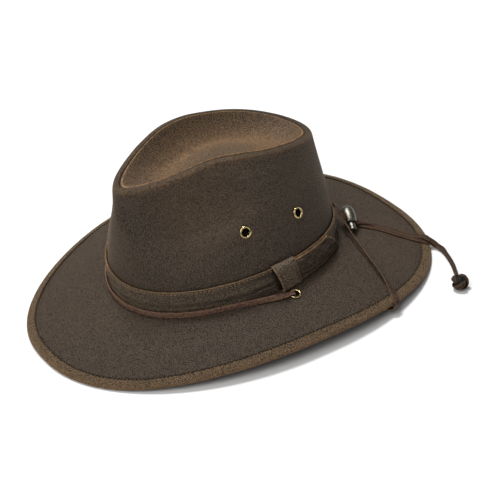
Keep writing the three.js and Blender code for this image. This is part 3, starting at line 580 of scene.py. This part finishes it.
def crest_point(angle):
    turn = math.radians(angle)
    x = crest_breadth / 2 * column("breadth", angle) * math.sin(turn)
    y = crest_centre - crest_length / 2 * math.cos(turn)
    return Vector((x, y, foot_height + (crest_height - foot_height) * column("height", angle)))


def crest_outward(angle):
    along = crest_point(angle + 2) - crest_point(angle - 2)
    along.z = 0
    along.normalize()
    return Vector((along.y, -along.x, 0))


def crown_rows(angle):
    """The points of the crown's outside at an angle, from its foot to the seam inside the crest."""
    out = crest_outward(angle)
    top = crest_point(angle)

    def on_crest(across, drop):
        return top - out * across * crest_width + Vector((0, 0, -drop))

    low = foot_point(angle, -band_taper, foot_top(angle) + band_height)
    high = on_crest(*crest_rows[0])
    middle_share = 0.55
    rows = [
        foot_point(angle, 0, foot_top(angle) - brim_wall),
        foot_point(angle, -band_taper * middle_share, foot_top(angle) + band_height * middle_share),
    ]
    full_depth = side_fullness * column("fullness", angle)
    full_pinch = pinch_depth * column("pinch", angle)
    for rise, full, pinch in wall_rows:
        rows.append(low.lerp(high, rise) + out * (full_depth * full - full_pinch * pinch))
    return rows + [on_crest(across, drop) for across, drop in crest_rows]


def crown_hollow(angle, height):
    """How far the shallow hollow beside the front is pressed in, deeper on the left side."""
    across = (from_front(angle) - hollow_angle) / hollow_half_angle
    up = (height - hollow_height) / hollow_half_height
    lip = clamp((1.08 - math.hypot(across, up)) / hollow_lip)
    depth = hollow_depth_left if (angle + 180) % 360 > 180 else hollow_depth_right
    return depth * lip * lip * (3 - 2 * lip)


crown_memory = {}


def crown_place(u, w):
    angle = u * 360
    if u not in crown_memory:
        crown_memory[u] = crown_rows(angle)
    point = on_spread(crown_memory[u], crown_spread, w)
    out = crest_outward(angle)
    soft = 0.0006 * ragged(point.x * 14, point.y * 14, point.z * 20 + 5)
    soft += 0.0003 * ragged(point.x * 45, point.y * 45, point.z * 60)
    point = point + out * soft * (clamp((w - 0.2) * 6) * clamp((0.9 - w) * 8))
    point = point - out * crown_hollow(angle, point.z) * clamp((0.86 - w) * 8)
    away = from_front(angle)
    crest_wear = 0.3 * hump(w, 0.90, 0.035)
    # Paler on the upper wall of the front quarters.
    side_paling = 0.1 * hump(away, 62, 27) * clamp((w - 0.34) * 5)
    # Painted shade: the back half of the wall and its front are darkened.
    crown_painted_shade = 0.15 * clamp((away - 88) / 34) + 0.1 * clamp((36 - away) / 30)
    return point, u * crown_girth, w * crown_rise, max(crest_wear, side_paling) - crown_painted_shade


def give_wall(piece, thickness, offset):
    """Thickens a sheet, inward of it at offset -1 and to both sides at 0."""
    wall = piece.modifiers.new("wall", "SOLIDIFY")
    wall.thickness = thickness
    wall.offset = offset
    wall.use_even_offset = True
    return wall


def open_hole(piece, middle, aim, radius):
    """Takes out the cloth behind an eyelet. Its ragged edge is hidden under the flange."""
    bm = bmesh.new()
    bm.from_mesh(piece.data)
    gone = []
    for face in bm.faces:
        away = face.calc_center_median() - middle
        level = away.dot(aim)
        if abs(level) < 0.01 and (away - aim * level).length < radius:
            gone.append(face)
    bmesh.ops.delete(bm, geom=gone, context="FACES")
    bm.to_mesh(piece.data)
    bm.free()


def wall_seat(angle, w):
    """A place on the crown's wall and the way that the wall faces there."""
    middle = crown_place(angle / 360, w)[0]
    along = crown_place((angle + 1) / 360, w)[0] - crown_place((angle - 1) / 360, w)[0]
    up = crown_place(angle / 360, w + 0.01)[0] - crown_place(angle / 360, w - 0.01)[0]
    return middle, along.cross(up).normalized()


def cotton(name, colour, pale, dark, wear_and_shading=(172, 128, 80), scale=1550, share=0.85, clouds=0.2, amount=0.85,
           relief=0.7, roughness=0.7, shine=0.25, sheen=0.16, sheen_roughness=0.28, tint=(0.95, 0.6, 0.3, 1)):
    """Waxed cotton with a faint warm sheen, worn to a sandy brown on its edges, with a painted sandy
    highlight along its silhouette and painted shade where a piece's value is below zero.
    """
    return worn_and_shaded_material(name, colour, pale, dark, wear_and_shading, scale, share, clouds, amount, relief,
                         Roughness=roughness, Specular_IOR_Level=shine, Sheen_Weight=sheen,
                         Sheen_Roughness=sheen_roughness, Sheen_Tint=tint)


crown_side = shaped_grid("crown_wall", crown_steps, crown_rise_steps, crown_place, close_across=True)
give_wall(crown_side, crown_wall, -1)
cloth = cotton("waxed_cotton", (57, 48, 40), (98, 83, 68), (22, 18, 14))
dress(crown_side, cloth, "crown_side")


# Top panel: the sunken teardrop of the same cloth, sewn in along the groove inside the crest.
top_wall = 0.0018
dent_depth = 0.0165
dent_centre = 0.012
dent_centre_height = 0.1325
# Rows of the panel from its seam to its middle: how far out, and how deep.
dent_rows = [(1.0, 0.04), (0.992, -0.05), (0.975, -0.095), (0.95, 0.0), (0.88, 0.32), (0.77, 0.70),
             (0.62, 0.97), (0.45, 0.90), (0.22, 0.77), (0.0, 0.74)]
dent_spread = [0, 0.02, 0.04, 0.08, 0.16, 0.27, 0.40, 0.57, 0.79, 1.0]
top_steps = 200
top_rise_steps = 120
top_girth = 0.46
top_reach = 0.05
dent_memory = {}


def dent_points(angle):
    seam = crest_point(angle) - crest_outward(angle) * (crest_width + 0.0001)
    points = []
    for out, depth in dent_rows:
        deep = 1 + (column("dent", angle) - 1) * out
        z = dent_centre_height + (seam.z - dent_centre_height) * out ** 1.5 - dent_depth * depth * deep
        points.append(Vector((seam.x * out, dent_centre + (seam.y - dent_centre) * out, z)))
    return points


def top_place(u, w):
    if u not in dent_memory:
        dent_memory[u] = dent_points(u * 360)
    point = on_spread(dent_memory[u], dent_spread, w)
    inside_seam = min(1, w * 8)
    point.z += 0.0005 * ragged(point.x * 30, point.y * 22, 4) * inside_seam
    # Painted light: paler on the dent's floor, where the light falls on it. Rubbed in a thin line just inside
    # the seam.
    wear_and_shading = max(0.35 * hump(w, 0.45, 0.2), hump(w, 0.035, 0.016))
    # Painted shade towards the panel's front.
    front_painted_shade = 0.18 * hump(u, round(u), 0.09) * inside_seam
    # Painted shade in the groove along the seam.
    seam_painted_shade = 1.2 * hump(w, 0, 0.008)
    return point, u * top_girth, w * top_reach, wear_and_shading - front_painted_shade - seam_painted_shade


crown_top = shaped_grid("crown_top_panel", top_steps, top_rise_steps, top_place, close_across=True,
                        close_along=True)
give_wall(crown_top, top_wall, -1)
# The panel takes a paler, warmer copy of the wall's cloth.
top_cloth = cotton("paler_top_cotton", (84, 68, 53), (126, 103, 79), (28, 22, 16), wear_and_shading=(186, 140, 92),
                   share=0.8, clouds=0.3, amount=0.8, roughness=0.72, sheen=0.2, sheen_roughness=0.3,
                   tint=(0.95, 0.62, 0.34, 1))
dress(crown_top, top_cloth, "crown_top")


# Brim: two layers of the cloth over a stiff middle, cut in one ring. It rests on the floor at the
# front and back, and both sides curl up.
brim_length = 0.364
brim_breadth = 0.2908
brim_squareness = 2.27
brim_back_fullness = 0.12
brim_arch = 1.15
side_lift = 0.0104
rest_share = 0.43
# The edge is a little flatter at the front of the right side and at the back.
flat_depth = 0.0017
flat_spread = 20
right_flat = -62
back_flat = 182
tape_width = 0.0087
tape_wall = 0.001
tongue_wall = 0.0012
edge_half = tongue_wall / 2 + gap + tape_wall
brim_steps = 420
brim_rows = 48


def edge_point(angle):
    c, s = math.cos(math.radians(angle)), math.sin(math.radians(angle))
    power = 2 / brim_squareness
    x = math.copysign(abs(s) ** power, s) * brim_breadth / 2 * (1 - brim_back_fullness * c)
    y = -math.copysign(abs(c) ** power, c) * brim_length / 2
    x += flat_depth * hump((angle - right_flat + 180) % 360, 180, flat_spread)
    y -= flat_depth * hump(angle % 360, back_flat, flat_spread)
    lifted = max(0, (abs(s) - rest_share) / (1 - rest_share))
    return Vector((x, y, edge_half + side_lift * lifted ** 2))


def brim_width(angle):
    edge, foot = edge_point(angle), foot_point(angle, gap, 0)
    return math.hypot(edge.x - foot.x, edge.y - foot.y)


def brim_point(angle, inward, lift):
    """A point of the brim, counted inward from its bound edge and lifted from its middle layer."""
    edge = edge_point(angle)
    foot = foot_point(angle, gap, foot_top(angle) - brim_wall / 2)
    share = 1 - inward / brim_width(angle)
    flat = foot.lerp(edge, share)
    bent = math.copysign(abs(share) ** brim_arch, share)
    return Vector((flat.x, flat.y, foot.z + (edge.z - foot.z) * bent + lift))


def even_angles(count):
    """Angles at even steps along the brim's edge, since its corners are pulled apart by the angle."""
    fine = 1440
    run = run_lengths([edge_point(k * 360 / fine) for k in range(fine + 1)])
    wanted = [run[-1] * i / count for i in range(count + 1)]
    return [(k + s) * 360 / fine for k, s in places_along(run, wanted)], run[-1]


brim_angles, brim_run = even_angles(brim_steps)


def brim_place(u, w):
    angle = brim_angles[round(u * brim_steps)]
    width = brim_width(angle)
    inward = width + (tape_wall + gap - width) * w
    point = brim_point(angle, inward, 0)
    sway = 0.0005 * ragged(point.x * 22, point.y * 22, 1.5) + 0.00025 * ragged(point.x * 60, point.y * 60, 7)
    point.z += sway * (min(1, w * 6) * min(1, (1 - w) * 6))
    return point, u * brim_run, inward, 0.0


brim = shaped_grid("brim_cloth", brim_steps, brim_rows, brim_place, close_across=True)
brim_layers = give_wall(brim, brim_wall, 0)
# Inside the tape the brim is pressed down to a thin tongue.
full_thickness = brim.vertex_groups.new(name="full_thickness")
for vertex, from_edge in zip(brim.data.vertices, brim.data.attributes["along"].data):
    inside_tape = from_edge.value < tape_width + gap
    full_thickness.add([vertex.index], tongue_wall / brim_wall if inside_tape else 1.0, "REPLACE")
brim_layers.vertex_group = "full_thickness"
brim_cotton = cotton("brim_cotton", (55, 46, 39), (95, 81, 67), (21, 17, 14), roughness=0.72, shine=0.22,
                     sheen=0.12)
dress(brim, brim_cotton, "brim")


# Binding: a woven edge tape folded over the brim's edge and sewn through near its inner edge. Its
# ends overlap at the right of the back.
tape_steps = 700
tape_rows = 32
tape_join = 158
tape_lap = 0.0005
tape_lap_angle = 1.2
tape_cloth_wall = tape_wall * 0.9
tape_rest_height = tape_wall * 0.46
thread_lift = 0.0002
tape_stitch_inward = tape_width - 0.0010
tape_angles, tape_run = even_angles(tape_steps)


def tape_place(u, w):
    """The tape's middle layer, w from its upper edge round the fold to its lower edge."""
    angle = tape_angles[round(u * tape_steps)]
    half = edge_half - tape_wall / 2
    reach = tape_width - half
    quarter = half * math.pi / 2
    run = (w - 0.5) * 2 * (reach + quarter)
    turn = max(-1, min(1, run / quarter)) * math.pi / 2
    beyond = max(0, abs(run) - quarter)
    length = u * tape_run
    pucker = 0.00016 * ragged(length * 150, 2.2, w * 3) + 0.00012 * ragged(length * 420, 5.2, w * 5)
    lap = tape_lap * math.exp(-((angle - tape_join) / tape_lap_angle) ** 4)
    lift = -math.sin(turn) * (half + pucker + lap)
    inward = half - math.cos(turn) * half + beyond
    inward += 0.0002 * ragged(length * 60, 8.2, 1) * min(1, beyond / 0.002)
    point = brim_point(angle, inward + tape_wall / 2, lift)
    point.z = max(point.z, tape_rest_height)
    # Painted shade along the tape's inner edge, where it meets the brim.
    hem_painted_shade = 1.1 * (beyond > reach - 0.0010)
    return point, length, run, hump(run, 0, 0.0016) - hem_painted_shade


tape = shaped_grid("edge_tape", tape_steps, tape_rows, tape_place, close_across=True)
give_wall(tape, tape_cloth_wall, 0)
tape_cloth = cotton("edge_tape_weave", (76, 62, 48), (126, 102, 76), (24, 19, 14), wear_and_shading=(150, 114, 76),
                    scale=1300, share=0.8, clouds=0.25, amount=0.4, relief=0.8, roughness=0.78, shine=0.2,
                    sheen=0.35, sheen_roughness=0.3, tint=(0.95, 0.68, 0.38, 1))
dress(tape, tape_cloth, "brim_binding")


def stitched_line(name, spots, ups, length, space, thick):
    """A row of raised stitches along a line: each one a short rounded thread that dips at its ends."""
    run = run_lengths(spots)
    bm = bmesh.new()
    wanted = [(i + 0.5) * space for i in range(int(run[-1] / space))]
    for k, s in places_along(run, wanted):
        middle = spots[k].lerp(spots[k + 1], s)
        ahead = (spots[k + 1] - spots[k]).normalized()
        up = ups[k].lerp(ups[k + 1], s)
        up = (up - up.dot(ahead) * ahead).normalized()
        turn = Matrix((ahead, up.cross(ahead), up)).transposed().to_4x4()
        size = Matrix.Diagonal((length / 2, thick / 2, thick / 2, 1))
        place = Matrix.Translation(middle) @ turn @ size
        bmesh.ops.create_icosphere(bm, subdivisions=1, radius=1, matrix=place)
    return new_piece(name, bm)


def thread_material(name, colour, dark):
    return grained_material(name, colour, colour, dark, scale=1500, share=0.6, clouds=0.5,
                            Roughness=0.65, Specular_IOR_Level=0.3)[0]


dark_thread = thread_material("dark_thread", (26, 21, 17), (14, 11, 9))
light_thread = thread_material("light_thread", (164, 138, 106), (112, 92, 70))

for side, name in ((1, "tape_stitches_above"), (-1, "tape_stitches_below")):
    spots = [brim_point(a, tape_stitch_inward, side * (edge_half + thread_lift)) for a in tape_angles]
    ups = [Vector((0, 0, side))] * len(spots)
    stitches = stitched_line(name, spots, ups, length=0.0026, space=0.0033, thick=0.0008)
    dress(stitches, dark_thread)


# Band: a strip of the cloth folded over at its top edge, sewn, and wrapped round the foot of the crown.
# Its section goes up the outside, over the folded top edge and down behind it.
band_wall = 0.0016
band_steps = 420
band_rows = 64
band_flare = 0.0006
band_standoff = 0.0002
band_outside_end = 0.72
band_fold_end = 0.86
band_fold_share = 0.975
band_girth = 0.6
band_stitch_share = 0.915
band_stitch_count = 720
# The keeper's edges at the band's top and foot: the band is pulled in beside it, and painted with shade
# there.
keeper_start = 87.3
keeper_end = 99.3
keeper_foot_start = 90.5
keeper_foot_end = 101.0
pull_angle, pull_spread = 76, 16


def band_point(angle, share, outset):
    height = gap + (band_height - gap) * share
    return foot_point(angle, gap + outset - band_taper * share, foot_top(angle) + height)


def band_wander(angle):
    """How far the band's folds stray up and down, as a share of its height."""
    turn = math.radians(angle)
    return 0.05 * ragged(math.sin(turn) * 4, math.cos(turn) * 4, 2)


def band_crumple(angle, share):
    """The soft lengthwise folds of the band, deepest in its lower third and beside the keeper."""
    turn = math.radians(angle)
    x, y = math.sin(turn), math.cos(turn)
    wander = band_wander(angle)
    pulled = 1 + 1.2 * hump(angle, pull_angle, pull_spread)
    depth = 0.0010 * pulled * max(0.1, 0.7 + ragged(x * 6, y * 6, 12))
    crease = hump(share - 0.38, wander, 0.055) * depth
    crease += hump(share - 0.2, -wander * 1.4, 0.045) * 0.0007
    swell = 0.0006 * ragged(x * 7, y * 7, share * 4)
    swell += 0.0006 * pulled * hump(share - 0.56, wander, 0.1)
    ripple = 0.00032 * ragged(x * 17, y * 17, share * 11)
    return swell + ripple - crease


def band_painted_shade(angle, share):
    """Painted shade on the band: beside the keeper, in its main fold and under its hem near the keeper."""
    past = angle - keeper_foot_start - (keeper_start - keeper_foot_start) * share
    beside = clamp(past + 1.6) * clamp((8 - past) / 2)
    fold = hump(share - 0.365, band_wander(angle), 0.04) * (0.3 + 0.6 * hump(angle, 74, 16))
    under_hem = 0.5 * hump(share, 0.84, 0.1) * hump(angle, 84, 9)
    return max(beside, fold, under_hem)


def band_place(u, w):
    angle = u * 360
    if w < band_outside_end:
        share = w / band_outside_end
        bow = 0.0003 * math.sin(share * math.pi) + band_flare * share ** 5
        crumple = band_crumple(angle, share) * min(1, share * 8, (1 - share) * 8)
        point = band_point(angle, share * band_fold_share, band_wall + bow + crumple)
        # Rubbed along its top, less the painted shade.
        wear_and_shading = 0.4 * hump(1 - share, 0, 0.012) - band_painted_shade(angle, share)
    elif w < band_fold_end:
        turn = (w - band_outside_end) / (band_fold_end - band_outside_end) * math.pi
        half = (band_wall - band_standoff) / 2
        outset = band_flare + band_standoff + half + half * math.cos(turn)
        point = band_point(angle, band_fold_share, outset)
        point.z += half * math.sin(turn) * 0.9
        wear_and_shading = 0.5
    else:
        share = (1 - w) / (1 - band_fold_end)
        point = band_point(angle, share * band_fold_share, band_standoff + band_flare * share ** 5)
        wear_and_shading = 0.0
    turn = math.radians(angle)
    point.z += 0.00025 * ragged(math.sin(turn) * 9, math.cos(turn) * 9, 3) * min(1, w * 4)
    return point, u * band_girth, w * 0.05, wear_and_shading


band = shaped_grid("band_cloth", band_steps, band_rows, band_place, close_across=True)
band_cotton = cotton("band_cotton", (67, 57, 48), (116, 100, 82), (18, 15, 11), scale=1500, clouds=0.22)
dress(band, band_cotton, "hat_band")

angles = [k * 360 / band_stitch_count for k in range(band_stitch_count + 1)]
spots = [band_point(a, band_stitch_share, band_wall + 0.0006) for a in angles]
ups = [band_point(a, 0.9, 0.01) - band_point(a, 0.9, 0) for a in angles]
band_stitches = stitched_line("band_stitches", spots, ups, length=0.0023, space=0.0036, thick=0.0007)
dress(band_stitches, light_thread)


# Strap end: the band's free end, cut on a slant, hemmed and sewn along its edges. It lies on the band
# and has soft creases from being pulled through the keeper, with painted shade in their hollows.
strap_start = 93.0
strap_top_end = 126.0
strap_tip_end = 139.0
strap_wall = 0.0017
strap_inset = 0.0012
strap_steps = 90
strap_rows = 40
strap_length = 0.07
strap_height = 0.022
# The seam's corners: along the strap and up it.
strap_seam = [(0.35, 0.10), (0.935, 0.10), (0.935, 0.90), (0.35, 0.90)]
strap_seam_steps = [40, 20, 40]


def strap_place(u, w):
    margin = strap_inset / band_height
    end = strap_tip_end + (strap_top_end - strap_tip_end) * w ** 1.15
    angle = strap_start + (end - strap_start) * u
    share = margin + (1 - 2 * margin) * w
    edge = min(u * 60, (1 - u) * 26, w * 12, (1 - w) * 12)
    hem = 0.00035 * hump(edge, 1.3, 0.9)
    wrinkle = ragged(u * 9 + w * 3, w * 14 - u * 5, 3.3)
    fold = ragged(u * 4, w * 9 + u * 3, 8.1)
    creased = 0.0011 * wrinkle + 0.0011 * fold + 0.6 * band_crumple(angle * 1.7 + 40, w)
    bow = 0.0004 * math.sin(math.pi * w) + creased * min(1, edge)
    point = band_point(angle, share, band_wall + gap + strap_wall / 2 + 0.0002 + hem + bow)
    # Painted shade in the hollows of the creases.
    dark = 0.7 * clamp(-creased / 0.0004) * min(1, edge)
    return point, u * strap_length, w * strap_height, hump(edge, 0, 0.45) - dark


def soften(piece, width, segments):
    edge = piece.modifiers.new("soft_edge", "BEVEL")
    edge.width = width
    edge.segments = segments
    edge.limit_method = "ANGLE"
    edge.angle_limit = math.radians(50)


def foot_outward(point):
    x = point.x / (foot_breadth / 2) ** 2
    return Vector((x, (point.y - foot_centre) / (foot_length / 2) ** 2, 0)).normalized()


strap = shaped_grid("strap_end_cloth", strap_steps, strap_rows, strap_place)
give_wall(strap, strap_wall, 0)
soften(strap, 0.0004, 2)
# The strap end takes a darker copy of the band's cloth.
strap_cotton = cotton("dark_strap_cotton", (56, 47, 38), (104, 87, 70), (14, 11, 8), wear_and_shading=(170, 126, 82),
                      scale=1500, amount=0.8)
dress(strap, strap_cotton, "band_strap_end")

spots = []
for (u0, w0), (u1, w1), steps in zip(strap_seam, strap_seam[1:], strap_seam_steps):
    for k in range(steps):
        spots.append(strap_place(u0 + (u1 - u0) * k / steps, w0 + (w1 - w0) * k / steps)[0])
spots.append(strap_place(*strap_seam[-1])[0])
ups = [foot_outward(spot) for spot in spots]
spots = [spot + up * (strap_wall / 2 + 0.0001) for spot, up in zip(spots, ups)]
strap_stitches = stitched_line("strap_stitches", spots, ups, length=0.0019, space=0.0028, thick=0.00045)
dress(strap_stitches, dark_thread)


# Keeper: a small loop of the same cloth, hemmed and sewn near both edges, that holds the strap end
# down. Its front edge stands a little open.
keeper_wall = 0.0011
keeper_flare = 0.004
keeper_steps = 36
keeper_rows = 48


def keeper_place(u, w):
    """The loop's middle layer: from behind the band's foot, up over the strap and in behind its top."""
    front = band_wall + strap_wall + 2 * gap + keeper_wall / 2 + 0.0004
    puff = 0.0007 * math.sin(math.pi * w) + 0.0003 * ragged(u * 3, w * 4, 6)
    # Each row is the share of the band's height and the distance out from the crown.
    rows = [(0.035, front - 0.0022), (0.02, front - 0.0004), (0.10, front + 0.0002), (0.5, front + puff),
            (0.93, front), (1.03, front - 0.0008), (1.06, front - 0.0028), (1.05, 0.0008)]
    share, outset = through([Vector(row) for row in rows], w)
    level = clamp(share)
    start = keeper_foot_start + (keeper_start - keeper_foot_start) * level
    end = keeper_foot_end + (keeper_end - keeper_foot_end) * level
    flare = keeper_flare * (1 - u) ** 2.5 * math.sin(math.pi * level) ** 0.3 + 0.0003 * u ** 4
    point = band_point(start + (end - start) * u, share, outset + flare)
    return point, u * 0.022, w * 0.03, 0.5 * hump(min(u, 1 - u), 0, 0.02)


keeper = shaped_grid("keeper_cloth", keeper_steps, keeper_rows, keeper_place)
give_wall(keeper, keeper_wall, 0)
soften(keeper, 0.0005, 3)
keeper_cotton = cotton("keeper_cotton", (80, 69, 57), (138, 119, 98), (20, 16, 12), wear_and_shading=(176, 134, 88),
                       scale=1200, share=0.8, clouds=0.22, relief=0.8, sheen=0.2)
dress(keeper, keeper_cotton, "band_keeper")

for across, name in ((0.12, "keeper_stitches_front"), (0.88, "keeper_stitches_back")):
    spots = [keeper_place(across, 0.2 + 0.6 * k / 30)[0] for k in range(31)]
    spots = [spot + Vector((keeper_wall / 2 + 0.0001, 0, 0)) for spot in spots]
    ups = [Vector((1, 0.1, 0))] * len(spots)
    stitches = stitched_line(name, spots, ups, length=0.0019, space=0.0027, thick=0.0006)
    dress(stitches, dark_thread)


# Eyelets: drawn brass rings, pressed through the cloth and turned over a washer behind it. Two on
# each side of the crown let air in, and one on each side of the brim takes the lace.
eyelet_hole = 0.0034
eyelet_flange = 0.00505
eyelet_barrel_wall = 0.00045
eyelet_steps = 64
eyelet_lift = 0.0002
cloth_cut = 0.0009
rim_clearance = 0.0003
rim_height = 0.0010
washer_height = 0.0008
brim_eyelet_angle = 93.7
brim_eyelet_share = 0.19


def eyelet_profile(wall):
    """The ring's section as (radius, height), from the barrel over the rolled rim and back behind it."""
    mid = (eyelet_hole + eyelet_flange) / 2
    half = (eyelet_flange - eyelet_hole) / 2
    neck = eyelet_hole + eyelet_barrel_wall
    edge = eyelet_flange - 0.0003
    rim, washer = [], []
    for turn in [t * math.pi / 10 for t in range(11)]:
        rim.append((mid - half * math.cos(turn), rim_clearance + rim_height * math.sin(turn) ** 0.7))
    for turn in [t * math.pi / 8 for t in range(9)]:
        drop = rim_clearance + washer_height * math.sin(turn)
        washer.append((mid + half * math.cos(turn), -wall - drop))
    inside = [(edge, 0.0001), (neck, 0.0001), (neck, -wall - 0.0001), (edge, -wall - 0.0001)]
    return rim + inside + washer


def spun(name, outline, steps, place, closed=False):
    """A solid of revolution from (radius, height) points, set in its place by a matrix."""
    bm = bmesh.new()
    points = [bm.verts.new((r, 0, z)) for r, z in outline]
    ahead = points[1:] + points[:1] if closed else points[1:]
    edges = [bm.edges.new(pair) for pair in zip(points, ahead)]
    bmesh.ops.spin(bm, geom=points + edges, cent=(0, 0, 0), axis=(0, 0, 1), angle=math.tau, steps=steps,
                   use_merge=True)
    bmesh.ops.remove_doubles(bm, verts=bm.verts, dist=1e-7)
    bmesh.ops.recalc_face_normals(bm, faces=bm.faces)
    bmesh.ops.transform(bm, matrix=place, verts=bm.verts)
    return new_piece(name, bm)


def set_eyelet(name, node, cloth_piece, middle, aim, wall):
    turn = aim.to_track_quat("Z", "Y").to_matrix().to_4x4()
    place = Matrix.Translation(middle + aim * eyelet_lift) @ turn
    ring = spun(name, eyelet_profile(wall), eyelet_steps, place, closed=True)
    dress(ring, brass, node)
    open_hole(cloth_piece, middle, aim, eyelet_hole + cloth_cut)


brass, tree, shader, height = grained_material(
    "old_brass", (214, 190, 134), (232, 212, 164), (150, 124, 78), scale=500, share=0.05, clouds=0.4,
    Metallic=1.0)
dulled = wire(tree, "MapRange", {"To Min": 0.2, "To Max": 0.24}, {"Value": height})
tree.links.new(dulled.outputs[0], shader.inputs["Roughness"])

# Each vent's ring sits on the wall at the place nearest to the middle of its node.
wall_places = [(a / 10, w / 1000) for a in range(760, 1160, 4) for w in range(400, 640, 8)]
for side, hand in ((1, "left"), (-1, "right")):
    for place_name in ("front", "back"):
        node = f"vent_eyelet_{hand}_{place_name}"
        low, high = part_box(node)
        wanted = (low + high) / 2
        seats = [(side * angle % 360, w) for angle, w in wall_places]
        seat = min(seats, key=lambda s: (crown_place(s[0] / 360, s[1])[0] - wanted).length)
        middle, aim = wall_seat(*seat)
        set_eyelet(f"vent_ring_{hand}_{place_name}", node, crown_side, middle, aim, crown_wall)

for side, hand in ((1, "left"), (-1, "right")):
    angle = side * brim_eyelet_angle
    inward = (1 - brim_eyelet_share) * brim_width(angle)
    middle = brim_point(angle, inward, brim_wall / 2)
    along = brim_point(angle + 1, inward, 0) - brim_point(angle - 1, inward, 0)
    across = brim_point(angle, inward - 0.001, 0) - brim_point(angle, inward + 0.001, 0)
    aim = across.cross(along).normalized()
    set_eyelet(f"brim_ring_{hand}", f"brim_eyelet_{hand}", brim, middle, aim, brim_wall)


# Cord lock: a cast metal acorn with a bore for the sprung button. Both are slotted, and the spring
# pinches the two strands of lace between the slots.
lock_place = Vector((0.04246, 0.10869, 0.02879))
lock_aim = Vector((0.866, -0.353, -0.353)).normalized()
lock_across = Vector((0.003, 0.711, -0.703))
lock_across = (lock_across - lock_across.dot(lock_aim) * lock_aim).normalized()
lock_frame = Matrix((lock_across, lock_aim.cross(lock_across), lock_aim)).transposed().to_4x4()
lock_frame.translation = lock_place
lock_length = 0.019
lock_radius = 0.0063
# The acorn's outline from its mouth to its tip, as shares of its length and radius.
lock_outline = [(0.0, 0.72), (0.01, 0.78), (0.03, 0.83), (0.10, 0.89), (0.22, 0.95), (0.36, 0.99),
                (0.48, 1.0), (0.60, 0.98), (0.70, 0.93), (0.79, 0.85), (0.87, 0.73), (0.93, 0.58),
                (0.97, 0.40), (0.992, 0.2), (1.0, 0.0)]
lock_steps = 64
button_radius = 0.0031
button_cap = button_radius * 1.06
button_neck = button_radius * 0.84
button_steps = 48
bore = button_radius + gap
bore_depth = 0.0126
# The slots along the lock's axis. The button's is longer by its travel, so that it clears the lace.
slot_height = 0.0036
slot_reach = 0.03
slot_inner_end = -0.0078
body_slot_end = -0.0022
button_slot_end = 0.0003


def slotted(piece, low, high):
    """Cuts the lace's slot through a piece, from side to side."""
    bm = bmesh.new()
    size = Matrix.Diagonal((slot_reach, slot_height, high - low, 1))
    place = lock_frame @ Matrix.Translation((0, 0, (low + high) / 2)) @ size
    bmesh.ops.create_cube(bm, size=1, matrix=place)
    corners = []
    for edge in bm.edges:
        along = (edge.verts[0].co - edge.verts[1].co).normalized()
        if abs(along.dot(lock_across)) > 0.9:
            corners.append(edge)
    bmesh.ops.bevel(bm, geom=corners, offset=slot_height * 0.35, segments=3, profile=0.5, affect="EDGES",
                    material=-1)
    cutter = new_piece("slot", bm, smooth=False)
    hole = piece.modifiers.new("slot", "BOOLEAN")
    hole.object = cutter
    hole.solver = "EXACT"
    bpy.context.view_layer.update()
    done = bpy.data.meshes.new_from_object(piece.evaluated_get(bpy.context.evaluated_depsgraph_get()))
    piece.modifiers.clear()
    piece.data = done
    piece.data.materials.clear()
    bpy.data.objects.remove(cutter)
    for face in piece.data.polygons:
        face.use_smooth = True
    piece.data.set_sharp_from_angle(angle=math.radians(38))


lock_rows = [(0.0, -bore_depth), (bore, -bore_depth), (bore, -0.0005), (bore + 0.0004, 0.0)]
lock_rows += [(radius * lock_radius, -along * lock_length) for along, radius in lock_outline]
lock_body = spun("lock_body", lock_rows, lock_steps, lock_frame)
slotted(lock_body, slot_inner_end, body_slot_end)
button_rows = [(0.0, -0.0095), (button_radius, -0.0095), (button_radius, 0.0046), (button_neck, 0.0049),
               (button_neck, 0.0052), (button_cap * 0.96, 0.0053), (button_cap, 0.0057),
               (button_cap, 0.0070), (button_cap * 0.93, 0.0076), (button_cap * 0.75, 0.0079),
               (button_cap * 0.4, 0.00765), (0.0, 0.0075)]
lock_button = spun("lock_button", button_rows, button_steps, lock_frame)
slotted(lock_button, slot_inner_end, button_slot_end)

pewter, tree, shader, height = grained_material(
    "aged_pewter", (112, 109, 100), (142, 138, 126), (56, 54, 49), scale=1100, share=0.45, clouds=0.8,
    Metallic=0.95, Roughness=0.36)
relief = wire(tree, "Bump", {"Strength": 0.25, "Distance": 0.0002}, {"Height": height})
tree.links.new(relief.outputs["Normal"], shader.inputs["Normal"])
dress(lock_body, pewter, "cord_lock_body")
dress(lock_button, pewter, "cord_lock_button", body="lock_button")


# Floor: a plain pale studio floor, wide enough to fill every view.
bm = bmesh.new()
bmesh.ops.create_grid(bm, x_segments=2, y_segments=2, size=6)
floor = new_piece("floor", bm, smooth=False)
pale, tree, shader = new_material("pale_floor", Roughness=0.9, Specular_IOR_Level=0.1)
shader.inputs["Base Color"].default_value = (0.94, 0.94, 0.935, 1)
floor.data.materials.append(pale)


# Light: a small key box high above the hat, beyond it as the camera sees it, a wider and weaker box at
# the hat's front, and a faint even surround.
lit_middle = Vector((0, 0, 0.05))
surround_strength = 0.15


def soft_box(name, place, size, power):
    lamp = bpy.data.lights.new(name, "AREA")
    lamp.shape = "RECTANGLE"
    lamp.size = size
    lamp.size_y = size
    lamp.energy = power
    holder = bpy.data.objects.new(name, lamp)
    bpy.context.scene.collection.objects.link(holder)
    holder.location = place
    holder.rotation_euler = (lit_middle - Vector(place)).to_track_quat("-Z", "Y").to_euler()


soft_box("key_box", place=(-0.5, 0.15, 1.7), size=0.5, power=26)
soft_box("front_box", place=(0.5, -0.9, 1.3), size=1.2, power=13)
world = bpy.data.worlds.new("surround")
world.use_nodes = True
world.node_tree.nodes["Background"].inputs["Color"].default_value = (1, 1, 1, 1)
world.node_tree.nodes["Background"].inputs["Strength"].default_value = surround_strength
bpy.context.scene.world = world
bpy.context.scene.view_settings.view_transform = "Standard"
